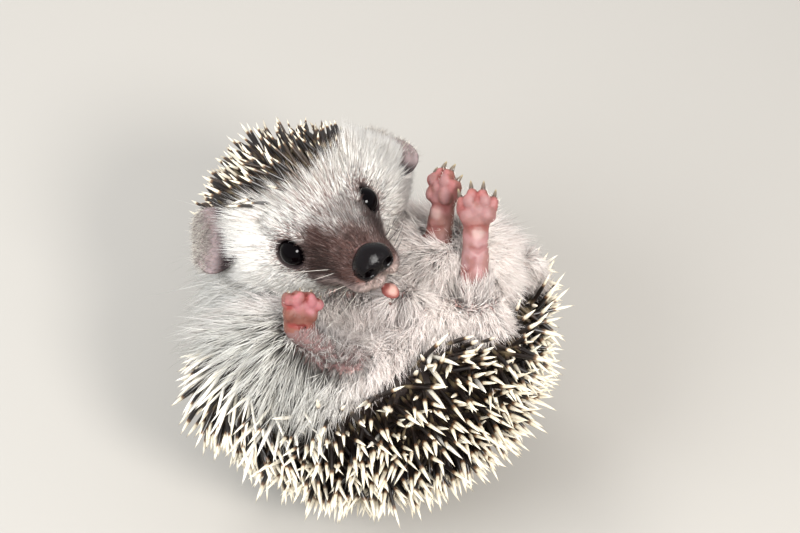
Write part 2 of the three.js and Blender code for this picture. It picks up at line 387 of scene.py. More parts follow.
class Clay:
    """A grid of distances in which forms are joined and carved, and from which a surface is drawn."""

    FAR = 40.0

    def __init__(self, low: Array, high: Array, cell: float) -> None:
        """An empty grid.

        Args:
            low: its lowest corner, in millimetres.
            high: its highest corner.
            cell: the distance between grid points.
        """
        self.low = np.asarray(low, float)
        self.cell = cell
        self.count = np.ceil((np.asarray(high) - self.low) / cell).astype(int) + 1
        self.field = np.full(self.count, self.FAR, np.float32)
        self.nearest = np.full(self.count, self.FAR, np.float32)
        self.owner = np.zeros(self.count, np.int8)

    def window(self, low: Array, high: Array) -> tuple[tuple, list[Array]]:
        """The grid's slices within a box, and their coordinates as an open grid."""
        first = np.clip(np.floor((low - self.low) / self.cell).astype(int), 0, self.count - 1)
        last = np.clip(np.ceil((high - self.low) / self.cell).astype(int) + 1, 1, self.count)
        cut = tuple(slice(a, b) for a, b in zip(first, last))
        axes = [(self.low[i] + self.cell * np.arange(first[i], last[i])).astype(np.float32) for i in range(3)]
        return cut, np.meshgrid(*axes, indexing="ij", sparse=True)

    def add(self, form: object, part: Part, blend: float) -> None:
        """Joins a form on, and marks what lies nearest to it as a part."""
        low, high = form.reach()
        cut, grid = self.window(low - blend - 1.5, high + blend + 1.5)
        d = form.distance(*grid).astype(np.float32)
        self.field[cut] = flesh_union(self.field[cut], d, blend)
        closer = d < self.nearest[cut]
        self.nearest[cut][closer] = d[closer]
        self.owner[cut][closer] = int(part)

    def carve(self, form: object, blend: float) -> None:
        """Takes a form away, with its edge rounded."""
        low, high = form.reach()
        cut, grid = self.window(low - blend - 1, high + blend + 1)
        d = form.distance(*grid).astype(np.float32)
        self.field[cut] = flesh_common(self.field[cut], -d, blend)

    def wrinkle(self, part: Part, size: float, depth: float) -> None:
        """Makes the surface of one part uneven."""
        cells = np.argwhere((self.owner == int(part)) & (np.abs(self.field) < 1.5))
        self.field[tuple(cells.T)] += (depth * blotch(self.low + self.cell * cells, size)).astype(np.float32)

    def sample(self, p: Array) -> Array:
        """The distance at any points, between the grid's own."""
        g = np.clip((p - self.low) / self.cell, 0, self.count - 1.001)
        i = g.astype(int)
        t = g - i
        total = np.zeros(len(p))
        for corner in np.ndindex(2, 2, 2):
            share = np.prod(np.where(corner, t, 1 - t), axis=1)
            total += share * self.field[i[:, 0] + corner[0], i[:, 1] + corner[1], i[:, 2] + corner[2]]
        return total

    def slope(self, p: Array) -> Array:
        """The field's gradient at any points."""
        step = self.cell * 0.75
        return np.stack([(self.sample(p + e) - self.sample(p - e)) / (2 * step) for e in np.eye(3) * step], 1)

    def part_at(self, p: Array) -> Array:
        """The part that each point belongs to."""
        i = np.clip(np.rint((p - self.low) / self.cell).astype(int), 0, self.count - 1)
        return self.owner[i[:, 0], i[:, 1], i[:, 2]]

    def surface(self) -> tuple[Array, Array]:
        """Draws the surface where the distance is nothing.

        Returns:
            Its points in millimetres and its four-sided faces, which point outwards.
        """
        v = self.field
        inside = v < 0
        corners = list(np.ndindex(2, 2, 2))
        shape = np.array(v.shape) - 1
        count = np.zeros(shape, np.int8)
        for c in corners:
            count += inside[tuple(slice(c[i], c[i] + shape[i]) for i in range(3))]
        active = (count > 0) & (count < 8)
        cells = np.argwhere(active)
        index = np.full(shape, -1, np.int32)
        index[active] = np.arange(len(cells))
        total = np.zeros((len(cells), 3))
        hits = np.zeros(len(cells))
        for a in corners:
            for axis in range(3):
                if a[axis]:
                    continue
                b = tuple(1 if k == axis else a[k] for k in range(3))
                va = v[tuple((cells + a).T)]
                vb = v[tuple((cells + b).T)]
                crossed = (va < 0) != (vb < 0)
                t = va[crossed] / (va[crossed] - vb[crossed])
                spot = np.tile(np.array(a, float), (len(t), 1))
                spot[:, axis] = t
                total[crossed] += spot
                hits[crossed] += 1
        points = self.settle(self.low + self.cell * (cells + total / hits[:, None]))
        faces = []
        for axis in range(3):
            u, w = np.eye(3, dtype=int)[(axis + 1) % 3], np.eye(3, dtype=int)[(axis + 2) % 3]
            near = tuple(slice(0, -1) if k == axis else slice(None) for k in range(3))
            far = tuple(slice(1, None) if k == axis else slice(None) for k in range(3))
            edge = np.argwhere(inside[near] != inside[far])
            ring = np.stack([index[tuple((edge - o).T)] for o in (u + w, w, 0 * u, u)], 1)
            outward = inside[near][tuple(edge.T)]
            ring[~outward] = ring[~outward][:, ::-1]
            faces.append(ring)
        return points, np.vstack(faces)

    def settle(self, p: Array) -> Array:
        """Points moved onto the surface."""
        for _ in range(2):
            g = self.slope(p)
            step = self.sample(p)[:, None] * g / np.maximum((g * g).sum(1, keepdims=True), 0.05)
            p = p - np.clip(step, -self.cell, self.cell)
        return p


# ---- The animal's flesh ----
@dataclass(frozen=True)
class FootPlan:
    """The sizes of one foot, in its own frame: x to the toes, z out of the sole, the heel at the origin.

    Each fold is a line of places in ball widths from the ball's middle.
    """

    length: float
    heel: float
    ball: float
    toe: float
    toe_length: float
    claw: float
    spread: float
    curl: float
    toes: int = 4
    toe_row: float = 0.84
    fan: float = 0.8
    pad: float = 0.88
    web: float = 0.2
    claw_girth: float = 0.55
    brown: float = 1.0
    hind: bool = False
    thumb_pad: tuple = ()
    folds: tuple = ()


ARCH = ((-1.0, -0.75, 0.3), (-0.84, -0.28, 0.7), (-0.84, 0.3, 0.7), (-1.02, 0.75, 0.3))
SOLE = (
    ARCH,
    ((-2.0, -0.75, 0.3), (-2.25, -0.1, 0.84), (-2.0, 0.4, 0.75)),
    ((-3.7, 0.75, 0.3), (-3.2, 0.2, 0.85), (-2.7, 0.1, 0.85)),
)
HIND = FootPlan(
    20.4, 3.3, 3.9, 1.45, 3.0, 1.6, 10.0, 0.15,
    toe_row=0.76, fan=1.4, pad=1.0, web=0.5, claw_girth=1.0, hind=True, folds=SOLE,
)
FORE = FootPlan(
    6.0, 2.7, 3.8, 1.34, 2.2, 0.5, 8.0, 0.9, thumb_pad=((0.4, -2.1, 0.6), (2.7, 2.5, 1.9)), folds=(ARCH,)
)
TUCKED = FootPlan(3.0, 2.7, 2.0, 0.8, 1.0, 0.1, 8.0, 0.9, brown=0.25)


@dataclass
class Foot:
    """One foot: its plan, where it lies on the animal and the colour of its palm or sole.

    Each of its pads is a place ahead of and beside the ball's middle, a radius and a rise, in ball widths.
    """

    PADS: ClassVar[tuple] = (
        (0.62, 0.5, 0.4, 0.5), (0.68, -0.44, 0.4, 0.5), (-0.22, 0.6, 0.46, 0.45),
        (-0.1, -0.58, 0.52, 0.5), (0.18, 0.05, 0.36, 0.55), (-0.72, 0.02, 0.34, 0.4),
    )
    FOLD: ClassVar[float] = 0.2

    plan: FootPlan
    heel: tuple
    toward: tuple
    sole: tuple
    palm: str = "a07a79"

    def __post_init__(self) -> None:
        """Works out the foot's axes."""
        x = unit(np.array(self.toward, float) - self.heel)
        y = unit(np.cross(self.sole, x))
        self.axes = np.stack([x, y, np.cross(x, y)])

    def place(self, p: tuple) -> Array:
        """A point of the foot's frame in the animal's frame."""
        return np.array(self.heel) + np.array(p, float) @ self.axes

    def gap(self, p: Array) -> Array:
        """How far points lie from the foot's own length, less its thickness."""
        d = p - self.heel
        along = np.clip(d @ self.axes[0], 0, self.plan.length)
        return np.linalg.norm(d - along[:, None] * self.axes[0], axis=1) - self.plan.heel

    def toe_points(self, i: int) -> tuple[Array, Array, Array, Array]:
        """A toe's root, knuckle, tip and the way its claw points, in the foot's frame."""
        s = self.plan
        middle = (s.toes - 1) / 2
        a = math.radians(s.spread * (i - middle))
        across = math.sin(a) / math.sin(math.radians(s.spread * middle))
        outer = abs(i - middle) / middle
        out = np.array([math.cos(a), math.sin(a), 0])
        start = s.length - s.toe_length + s.ball * 0.4 - s.fan * outer * s.toe
        root = np.array([start, s.ball * s.toe_row * across, 0.2])
        reach = s.toe_length * (1 - 0.22 * outer)
        tip = root + out * reach + (0, 0, 0.3 + s.curl)
        knuckle = root + out * reach * 0.55 + (0, 0, 0.25 - s.curl)
        return root, knuckle, tip, unit(out + (0, 0, -0.3 - 0.35 * s.curl))

    def oval(self, at: tuple, radii: tuple) -> Ball:
        """An ellipsoid that lies with the foot."""
        return Ball(self.place(at), radii, self.axes)

    def forms(self) -> list[tuple[object, float]]:
        """The forms of the foot, each with how softly it joins."""
        s = self.plan
        ball_x = s.length - s.toe_length
        made = [
            (Limb(self.place((0, 0, 0)), self.place((ball_x, 0, 0)), s.heel, s.ball * 0.72), 1.5),
            (self.oval((ball_x - 0.4, 0, 0.1), (s.ball * 1.05, s.ball * 1.02, s.ball * 0.66)), 1.2),
        ]
        if s.thumb_pad:
            made.append((self.oval(*s.thumb_pad), 1.0))
        for px, py, r, rise in self.PADS:
            r = r * s.pad * s.ball
            at = (ball_x - 0.4 + px * s.ball, py * s.ball, s.ball * rise)
            made.append((self.oval(at, (r * 1.15, r * 0.95, r * 0.8)), 0.22))
        made.append((self.oval((s.length * 0.36, 0.2, s.heel * 0.72), (2.6 * s.heel / 2.9, 1.3, 1.0)), 0.6))
        for i in range(s.toes):
            root, knuckle, tip, _ = self.toe_points(i)
            made.append((Limb(self.place(root), self.place(knuckle), s.toe * 1.08, s.toe), s.web))
            made.append((Limb(self.place(knuckle), self.place(tip), s.toe * 0.92, s.toe * 0.8), 0.2))
            pad = tip + (-0.3, 0, s.toe * 0.45)
            made.append((self.oval(pad, (s.toe * 1.05, s.toe * 0.84, s.toe * 0.72)), 0.12))
        return made

    def folds(self) -> list[Limb]:
        """The creases pressed across the sole or the palm."""
        s = self.plan
        middle = s.length - s.toe_length - 0.4
        made = []
        for line in s.folds:
            spots = [self.place((middle + x * s.ball, y * s.ball, z * s.ball)) for x, y, z in line]
            made += [Limb(a, b, self.FOLD, self.FOLD) for a, b in zip(spots, spots[1:])]
        return made


FEET = {
    "hindfoot_right": Foot(HIND, (23.6, -0.4, 61.5), (24.0, 15.2, 80), (0, -0.73, 0.68)),
    "hindfoot_left": Foot(HIND, (14.8, 8.8, 56.5), (17.5, 22.6, 71.5), (-0.72, -0.38, 0.58), "835f5a"),
    # The right forefoot's dark brown palm is partly its own colour and partly painted shade of the fist's
    # folded palm.
    "forefoot_right": Foot(FORE, (-16.2, -14.3, 66.2), (-14.3, -9.8, 71.8), (0.3, -0.7, 0.64), "693f35"),
    "forefoot_left": Foot(TUCKED, (4.0, -8.2, 68.6), (4.1, -5.3, 64.4), (0.1, -0.6, 0.8), "d6aa9d"),
}


@dataclass
class Flesh:
    """The whole body under its coat, in the animal's frame, as one field of distances."""

    place: Bearings
    block: tuple = ((-46.0, -42.5, 3.0), (44.0, 42.0, 90.0))
    cell: float = 0.4
    head_sections: tuple = (
        (-28.0, 1.6, 7.5, 5.5, -9.0),
        (-24.5, 2.6, 12.5, 8.8, -12.5),
        (-18.0, 3.0, 17.6, 10.4, -14.8),
        (-10.0, 3.0, 19.4, 10.3, -16.2),
        (-5.0, 1.6, 16.6, 9.0, -15.9),
        (1.0, 0.1, 11.0, 7.0, -14.3),
        (8.0, 0.0, 8.0, 4.6, -12.0),
        (16.0, 0.0, 5.7, 2.8, -8.0),
        (21.0, 0.0, 3.5, 1.4, -4.3),
    )
    eye_axis: tuple = (0.6, 0.75, 0.25)
    eye_radius: float = 3.3
    body: tuple = (
        (Part.TRUNK, Bowl(np.array([0, 0, 37.5]), (34.5, 31.0, 27.0), math.radians(16), 58.5, 9.0), 1.5),
        (Part.TRUNK, Ball(np.array([-20.5, -12.0, 45.0]), (17.0, 16.5, 15.0)), 6),
        (Part.TRUNK, Ball(np.array([21.5, 8.5, 43.5]), (15.0, 17.5, 16.0)), 6),
        (Part.TRUNK, Limb((-6.0, -23.5, 51.0), (15.0, -8.0, 52.0), 7.0, 8.0), 4),
        (Part.TRUNK, Ball(np.array([17.0, 5.5, 58.5]), (7.5, 6.0, 4.5)), 3),
        (Part.TRUNK, Ball(np.array([9.0, 8.0, 56.5]), (9.0, 8.0, 6.0)), 4),
        (Part.NECK, Ball(np.array([-21.0, 20.0, 54.0]), (14.0, 15.0, 17.0)), 6),
        (Part.NECK, Ball(np.array([-23.0, 5.0, 49.0]), (10.5, 12.0, 11.5)), 5),
        (Part.LEG, Limb((26.4, -9.0, 53.5), (24.2, -2.2, 59.4), 5.6, 3.3), 3),
        (Part.LEG, Limb((15.6, 14.0, 50.0), (14.8, 7.6, 54.6), 5.6, 3.5), 3),
        (Part.LEG, Limb((-4.4, -17.2, 58.4), (-15.4, -15.4, 64.6), 4.3, 2.9), 3),
        (Part.LEG, Limb((9.5, -3.0, 56.0), (4.9, -9.0, 67.0), 4.0, 2.6), 3),
        (Part.TAIL, Limb((37.0, 10.8, 48.0), (36.4, 10.4, 54.6), 3.0, 1.5), 2),
    )
    lip: tuple = ((22.6, 0.2, -5.6), (18, 3.6, -7.0), (11, 6.0, -9.0), (4, 8.4, -9.8))
    ears: tuple = (
        ((-8.6, 17.6, -2.0), (-0.62, 0.74, 0.2), (0.5, 0.5, -0.7)),
        ((-11.3, -17.2, 4.0), (-0.78, -0.62, 0.1), (-0.34, 0.57, 0.75)),
    )

    def eye_axes(self, side: int) -> Array:
        """An eye's own axes: out of the socket, towards the nose and over the eye."""
        out = self.place.way_from_head((self.eye_axis[0], side * self.eye_axis[1], self.eye_axis[2]))
        return basis(out, self.place.way_from_head((1, 0, -0.15)))

    def head_ball(self, center: tuple, radii: tuple) -> Ball:
        """An ellipsoid placed and turned with the head."""
        return Ball(self.place.from_head(center), radii, self.place.head_axes)

    def head_limb(self, start: tuple, end: tuple, thick: float, thin: float) -> Limb:
        """A tapered length placed with the head."""
        return Limb(self.place.from_head(start), self.place.from_head(end), thick, thin)

    def model(self) -> Clay:
        """Joins and carves every form."""
        clay = Clay(*self.block, self.cell)
        for part, form, blend in self.body:
            clay.add(form, part, blend)
        self.add_head(clay)
        for foot in FEET.values():
            for form, blend in foot.forms():
                clay.add(form, Part.FOOT, blend)
            for fold in foot.folds():
                clay.carve(fold, 0.7)
        clay.wrinkle(Part.FOOT, 1.3, 0.16)
        clay.wrinkle(Part.FOOT, 0.7, 0.07)
        self.carve_head(clay)
        return clay

    def add_head(self, clay: Clay) -> None:
        """The head with its cheeks, brows, muzzle, nose, chin and ears."""
        clay.add(Loft(self.place, self.head_sections), Part.HEAD, 5)
        clay.add(self.head_ball((-23, 2, -2), (8, 11, 10)), Part.HEAD, 4)
        for side in (1, -1):
            eye = self.place.eyes[side]
            axes = self.eye_axes(side)
            clay.add(Ball(eye + axes[0] * 0.1, (self.eye_radius + 0.8,) * 3), Part.HEAD, 1.6)
            brow = self.head_limb((3.4, side * 7.6, 4.0), (-3.4, side * 9.8, 5.0), 0.9, 1.3)
            clay.add(brow, Part.HEAD, 2.2)
            clay.add(self.head_ball((15.5, side * 3.4, -4.6), (6.4, 3.1, 3.6)), Part.HEAD, 1.6)
        clay.add(self.head_limb((14.5, 0, -8.6), (3, 0, -12.0), 2.6, 5.0), Part.HEAD, 1.6)
        clay.add(self.head_ball((21.4, 0, -0.4), (3.5, 3.6, 3.7)), Part.NOSE, 1.0)
        for side in (1, -1):
            clay.add(self.head_ball((21.5, side * 2.3, -1.1), (3.0, 2.35, 3.0)), Part.NOSE, 0.9)
        for base, tip, across in self.ears:
            z = unit(self.place.way_from_head(tip))
            x = unit(np.cross(self.place.way_from_head(across), z))
            clay.add(Flap(self.place.from_head(base), np.stack([x, np.cross(z, x), z])), Part.EAR, 1.2)

    def carve_head(self, clay: Clay) -> None:
        """The sockets, lids, nostrils, the mouth's line, the groove over it and the hollow at the chin."""
        for side in (1, -1):
            eye = self.place.eyes[side]
            axes = self.eye_axes(side)
            clay.carve(Ball(eye, (self.eye_radius + 0.03,) * 3), 0.12)
            clay.carve(Opening(eye, axes, math.radians(71), math.radians(65), 6.5), 0.35)
            corner = Limb(eye + axes[0] * 1.0 + axes[1] * 3.0, eye + axes[0] * 0.8 + axes[1] * 4.2, 0.45, 0.2)
            clay.carve(corner, 0.4)
            nostril = self.head_limb((24.6, side * 1.9, -1.5), (22.4, side * 3.4, -1.0), 0.85, 0.6)
            clay.carve(nostril, 0.45)
            slit = self.head_limb((23.6, side * 3.3, -1.9), (21.2, side * 4.9, -0.6), 0.32, 0.2)
            clay.carve(slit, 0.3)
            for a, b in zip(self.lip, self.lip[1:]):
                ends = [(p[0], side * p[1], p[2]) for p in (a, b)]
                clay.carve(self.head_limb(*ends, 0.3, 0.28), 0.5)
        clay.carve(self.head_limb((25.3, 0, 0.3), (23.6, 0, -5.6), 0.22, 0.3), 0.45)
        clay.carve(Ball(np.array([-2.0, -10.0, 63.0]), (12.0, 6.5, 6.5)), 3.5)


# ---- Colours of hair and hide ----
class Tint(Enum):
    """The colours of the coat and hide, as sRGB hex codes."""

    WHITE = "fbf8f3"
    IVORY = "efe7da"
    MASK = "60433c"
    MASK_SOFT = "a48b84"
    STIPPLE = "2f2420"
    JAW = "ecd4cc"
    HIDE_PALE = "dcc6bd"
    HIDE_BROW = "a8968e"
    HIDE_MAUVE = "735856"
    HIDE_DARK_AND_GAP_SHADE = "2e2420"
    BELLY = "faf2ec"
    BELLY_GREY = "d3bdb6"
    BELLY_SKIN = "c49f98"
    EAR = "8a7a79"
    EAR_SHADE = "231a1b"
    PINK = "965f5c"
    PAD = "8e6b69"
    CREASE = "7c3632"
    FIST = "985f62"
    SOLE_BROWN = "7a5044"
    NOSE = "090506"
    NOSE_RIM = "5a3a38"
    LID = "231a1b"
    QUILL = "dfd6c2"
    LOCK = "d6d3ca"
    CALLUS = "dccbc3"
    TAN = "7d6450"

    @property
    def rgb(self) -> Array:
        """The colour as linear numbers."""
        return linear(self.value)


@dataclass
class Markings:
    """What colour the hide and the hair are at each point of the animal."""

    place: Bearings

    def __post_init__(self) -> None:
        """Finds where the spines grow."""
        self.quilling = Quilling(self.place)

    def mask(self, h: Array) -> Array:
        """How far each point of the head lies in the dark mask of the muzzle and the eyes, which round the
        eyes is partly painted shade of the brows and lids.
        """
        x, y, z = h.T
        edge = -4.4 - 4.2 * ease(1.5, 6.0, x) + 2.2 * ease(7.0, 12.0, x)
        # Weaker on the left side (y > 0) and towards its upper left: partly the animal's own uneven mask,
        # partly painted shade on the right side, away from the light.
        side = np.where(y < 0, ease(0.5, 5.0, -y), 0.45 * ease(2.0, 6.0, y)) * ease(6.5, 4.0, z)
        reach = mix(ease(4.0, 16.0, x), ease(1.5, 7.0, x), side)
        reach = reach * (1 - 0.28 * ease(1.0, 5.0, y) * ease(-1, 2, z))
        muzzle = 0.9 * reach * ease(-1.2, 1.2, z - edge)
        bridge = 0.36 * ease(-9.0, 6.0, x - 0.3 * np.abs(y)) * ease(11.5, 6.5, np.abs(y)) * ease(-8, -4, z)
        return np.clip(np.maximum(np.maximum(muzzle, bridge), 0.9 * self.darkest_mask_and_lid_shade(h)), 0, 1)

    def darkest_mask_and_lid_shade(self, h: Array) -> Array:
        """How far each point of the head lies in the mask's darkest: round the eyes and beside the muzzle.
        Round the eyes it is partly the mask's own dark and partly painted shade of the brows and the lids'
        folds.
        """
        dark = np.zeros(len(h))
        for side in (1, -1):
            # Round the eye: partly the mask's own dark, partly painted shade of the brow and the lid's fold.
            round_eye = (h - (1.7, side * 9.4, 0.2)) / (5.6, 5.2, 5.4)
            beside = (h - (9.6, side * 7.2, -1.4)) / (6.0, 3.9, 4.4)
            dark = np.maximum(dark, np.exp(-((round_eye**2).sum(1) ** 1.5)))
            dark = np.maximum(dark, 0.92 * np.exp(-((beside**2).sum(1) ** 1.3)))
        return dark

    def jaw(self, h: Array) -> Array:
        """How far each point of the head lies on the pale pinkish lip and jaw."""
        return ease(-3.3, -5.6, h[:, 2]) * ease(4.0, 9.0, h[:, 0])

    def hide(self, p: Array, part: Array, up: Array, hollow: Array) -> tuple[Array, Array]:
        """The hide's colour and wetness.

        Args:
            p: points of the skin in the animal's frame.
            part: the part that each belongs to.
            up: the skin's outward direction at each.
            hollow: how deep in a crease each lies, from 0 to 1, which sets the painted shade of the creases.

        Returns:
            A linear colour and a wetness from 0 to 1 for each point.
        """
        h = self.place.to_head(p)
        spiny = self.quilling.share(p, part)
        # Under the spines the hide is dark, partly its own colour and partly painted shade in the gaps
        # between quills; under the shoulder's locks it is painted shade between the locks.
        dark = np.maximum(spiny, self.quilling.fringe(p) * 0.85)
        color = dye(Tint.BELLY_SKIN.rgb[None], Tint.HIDE_DARK_AND_GAP_SHADE.rgb, dark)
        color = dye(color, self.face_color(h), (part == Part.HEAD) * (1 - spiny))
        # Painted shade: the ear darkens towards its base and in its creases.
        depth = np.maximum(ease(0.5, 0.2, self.ear_rise(h)), 0.7 * hollow)
        color = dye(color, dye(Tint.EAR.rgb[None], Tint.EAR_SHADE.rgb, depth), part == Part.EAR)
        feet = np.maximum(part == Part.FOOT, ease(2.6, 0.6, nearest([foot.gap(p) for foot in FEET.values()])))
        color = dye(color, self.foot_color(p, up, hollow), feet)
        color = dye(color, Tint.HIDE_MAUVE.rgb, (part == Part.LEG) * (p[:, 0] < 0) * 0.9)
        # Painted shade: a dark band on the head and neck along the ear's base, where the ear meets the cheek.
        behind = ease(0.4, 0.0, np.abs(self.ear_rise(h) - 0.05)) * ease(4.5, 1.5, self.ear_gap(h))
        color = dye(color, Tint.EAR_SHADE.rgb, np.isin(part, (Part.HEAD, Part.NECK)) * 0.9 * behind)
        nose = (part == Part.NOSE) * ease(18.0, 19.0, h[:, 0]) * ease(-4.9, -4.1, h[:, 2])
        rim = ease(18.2, 20.2, h[:, 0])
        color = dye(color, dye(Tint.NOSE_RIM.rgb[None], Tint.NOSE.rgb, rim), nose)
        gap = self.place.eye_gap(p)
        color = dye(color, Tint.LID.rgb, 0.94 * ease(5.4, 3.9, gap))
        wet = np.clip(nose * rim + 0.2 * ease(4.2, 3.7, gap) + 0.3 * (part == Part.FOOT), 0, 1)
        return color, wet

    def face_color(self, h: Array) -> Array:
        """The hide of the face: pale, with the mask, the dark round the eyes, which is partly painted shade
        of the brows and lids, and the pink jaw.
        """
        brow = ease(14, 5, np.abs(h[:, 1])) * ease(-2, 3, h[:, 2])
        color = dye(Tint.HIDE_PALE.rgb[None], Tint.HIDE_BROW.rgb, brow)
        color = dye(color, Tint.MASK.rgb * 0.85, np.clip(1.15 * self.mask(h), 0, 1))
        color = dye(color, Tint.STIPPLE.rgb, 0.75 * self.darkest_mask_and_lid_shade(h))
        return dye(color, Tint.JAW.rgb * 0.8, 0.8 * self.jaw(h))

    def foot_color(self, p: Array, up: Array, hollow: Array) -> Array:
        """The hide of the feet: pink pads, mauve soles, brown heels and sides, and painted dark red shade in
        the creases. The sides' brown is partly their own colour and partly painted shade where they turn away
        from the sole.
        """
        color = np.tile(Tint.PINK.rgb, (len(p), 1))
        best = np.full(len(p), 1e9)
        for foot in FEET.values():
            local = (p - foot.heel) @ foot.axes.T
            along = local[:, 0] / foot.plan.length
            gap = foot.gap(p)
            closer = gap < best
            best = np.minimum(gap, best)
            facing = up @ foot.axes[2]
            hind = foot.plan.hind
            base = Tint.PINK if hind else Tint.FIST
            own = dye(base.rgb[None], linear(foot.palm), ease(0.72, 0.45, along))
            raised = ease(0.5, 0.75, local[:, 2] / foot.plan.ball) * ease(0.6, 0.75, along)
            own = dye(own, (Tint.PAD if hind else Tint.FIST).rgb, 0.8 * raised)
            # Brown on the sides that turn away from the sole: partly the foot's own colour, partly painted
            # shade.
            brown = np.maximum(0.85 * ease(0.55, -0.1, facing), 0.7 * ease(0.22, 0.0, along))
            brown = np.maximum(brown, 0.6 * ease(0.1, 0.9, blotch(p, 1.7)) * ease(0.9, 0.6, along))
            brown = np.maximum(brown, 0.5 * ease(-0.1, 0.8, blotch(p + 7, 0.9)))
            own = dye(own, Tint.SOLE_BROWN.rgb, brown * foot.plan.brown)
            callus = np.hypot(local[:, 0] - foot.plan.length * 0.6, local[:, 1] + 0.4) - 0.3 * blotch(p, 0.8)
            own = dye(own, Tint.CALLUS.rgb, 0.3 * ease(2.2, 0.8, callus) * (facing > 0.2) * hind)
            # Painted shade: the creases darken to dark red by how deep they lie.
            own = dye(own, Tint.CREASE.rgb, (0.4 if hind else 0.9) * hollow)
            color[closer] = own[closer]
        return color

    def ear_rise(self, h: Array) -> Array:
        """How far from its base towards its tip each point of an ear lies, from 0 to 1."""
        rise = np.zeros(len(h))
        for base, tip, _ in Flesh.ears:
            own = (h - base) @ unit(np.array(tip)) / Flap.length
            rise = np.where((h[:, 1] > 1.5) == (base[1] > 0), own, rise)
        return np.clip(rise, 0, 1)

    def ear_gap(self, h: Array) -> Array:
        """How far each point lies from the base line of the nearer ear."""
        gap = np.full(len(h), 1e9)
        for base, tip, across in Flesh.ears:
            d = h - base - 2.0 * unit(np.array(tip))
            way = unit(np.array(across))
            t = np.clip(d @ way, -6, 6)
            gap = np.minimum(gap, np.linalg.norm(d - t[:, None] * way, axis=1))
        return gap

    def hair(self, p: Array, part: Array, rng: Chance) -> Array:
        """The colour of a hair rooted at each point, with a little chance in it."""
        h = self.place.to_head(p)
        n = len(p)
        white = dye(Tint.WHITE.rgb[None], Tint.IVORY.rgb, rng.random(n) * 0.5)
        share = self.mask(h) + 0.75 * (rng.random(n) - 0.5)
        color = dye(white, Tint.MASK_SOFT.rgb, ease(0.22, 0.5, share))
        color = dye(color, Tint.MASK.rgb, ease(0.55, 0.85, share))
        color = dye(color, Tint.JAW.rgb, 0.85 * self.jaw(h))
        # Dark specks, most of them round the eyes, where they stand partly for painted shade of the brows and
        # lids.
        speck = rng.random(n) < (0.14 * self.mask(h) + 0.75 * self.darkest_mask_and_lid_shade(h)) * (1 - self.jaw(h))
        color = dye(color, Tint.STIPPLE.rgb, 0.75 * speck)
        fur = dye(Tint.BELLY.rgb[None], Tint.BELLY_GREY.rgb, ease(0.45, 1.0, rng.random(n)) * 0.7)
        fur = dye(fur, white, np.maximum(ease(4, -14, p[:, 0]) * ease(-4, -14, p[:, 1]), part == Part.NECK))
        body = np.isin(part, (Part.TRUNK, Part.LEG, Part.TAIL, Part.FOOT, Part.NECK))
        return np.where(body[:, None], fur, color)


@dataclass
class Quilling:
    """Where the spines grow: the crown, nape, back and flanks, up to the edge of the belly's fur."""

    place: Bearings
    lowest: float = 24.0
    rises: tuple = ((26, -55, 55, 3), (14, -150, 23, 2), (-12, 172, 22, 2), (-13, 55, 34, 2))
    ripple: float = 1.5
    middle_height: float = 35.0

    def hairline(self, y: Array) -> Array:
        """How far forward the crown's spines reach, across the head."""
        return -2.6 - 0.046 * (y - 2) ** 2

    def over_edge(self, p: Array) -> Array:
        """How many degrees each point lies above the belly fur's edge, seen from the trunk's middle."""
        turn = azimuth(p)
        edge = self.lowest + self.ripple * np.sin(np.radians(5 * turn))
        for rise, middle, width, power in self.rises:
            gap = np.abs((turn + (180 - middle)) % 360 - 180)
            edge = edge + rise * np.exp(-((gap / width) ** power))
        return np.degrees(np.arctan2(p[:, 2] - self.middle_height, np.hypot(p[:, 0], p[:, 1]))) - edge

    def fringe(self, p: Array) -> Array:
        """How far each point lies in the long locks at the edge of the shoulder's fur, from 0 to 1."""
        turn = azimuth(p, 90)
        return ease(-98, -114, turn) * ease(-215, -195, turn) * ease(25, 13, self.over_edge(p))

    def share(self, p: Array, part: Array) -> Array:
        """1 where spines grow, 0 in the fur, and between at the edge."""
        h = self.place.to_head(p)
        front = ease(1.0, -1.0, h[:, 0] - self.hairline(h[:, 1]))
        crown = front * ease(3.0, 5.5, h[:, 2] + 0.35 * np.maximum(-h[:, 0] - 16, 0))
        trunk = ease(1.0, -4.0, self.over_edge(p))
        neck = np.maximum(ease(11.0, 17.0, p[:, 1]), trunk)
        on = [part == Part.HEAD, part == Part.NECK, part == Part.TRUNK, part == Part.LEG]
        return np.select(on, [crown, neck, trunk, ease(-5.0, -9.0, self.over_edge(p))], 0.0)


# ---- Meshes ----
def mesh_of(name: str, points: Array, faces: Array) -> Mesh:
    """A smooth mesh from points in metres and faces that all have the same number of sides.

    Args:
        name: the mesh's name.
        points: one row for each vertex.
        faces: one row of vertex numbers for each face.

    Returns:
        The mesh.
    """
    mesh = bpy.data.meshes.new(name)
    mesh.vertices.add(len(points))
    mesh.vertices.foreach_set("co", np.ascontiguousarray(points, np.float32).ravel())
    sides = faces.shape[1]
    mesh.loops.add(faces.size)
    mesh.loops.foreach_set("vertex_index", np.ascontiguousarray(faces, np.int32).ravel())
    mesh.polygons.add(len(faces))
    mesh.polygons.foreach_set("loop_start", np.arange(0, faces.size, sides, dtype=np.int32))
    mesh.update(calc_edges=True)
    mesh.validate()
    mesh.shade_smooth()
    return mesh


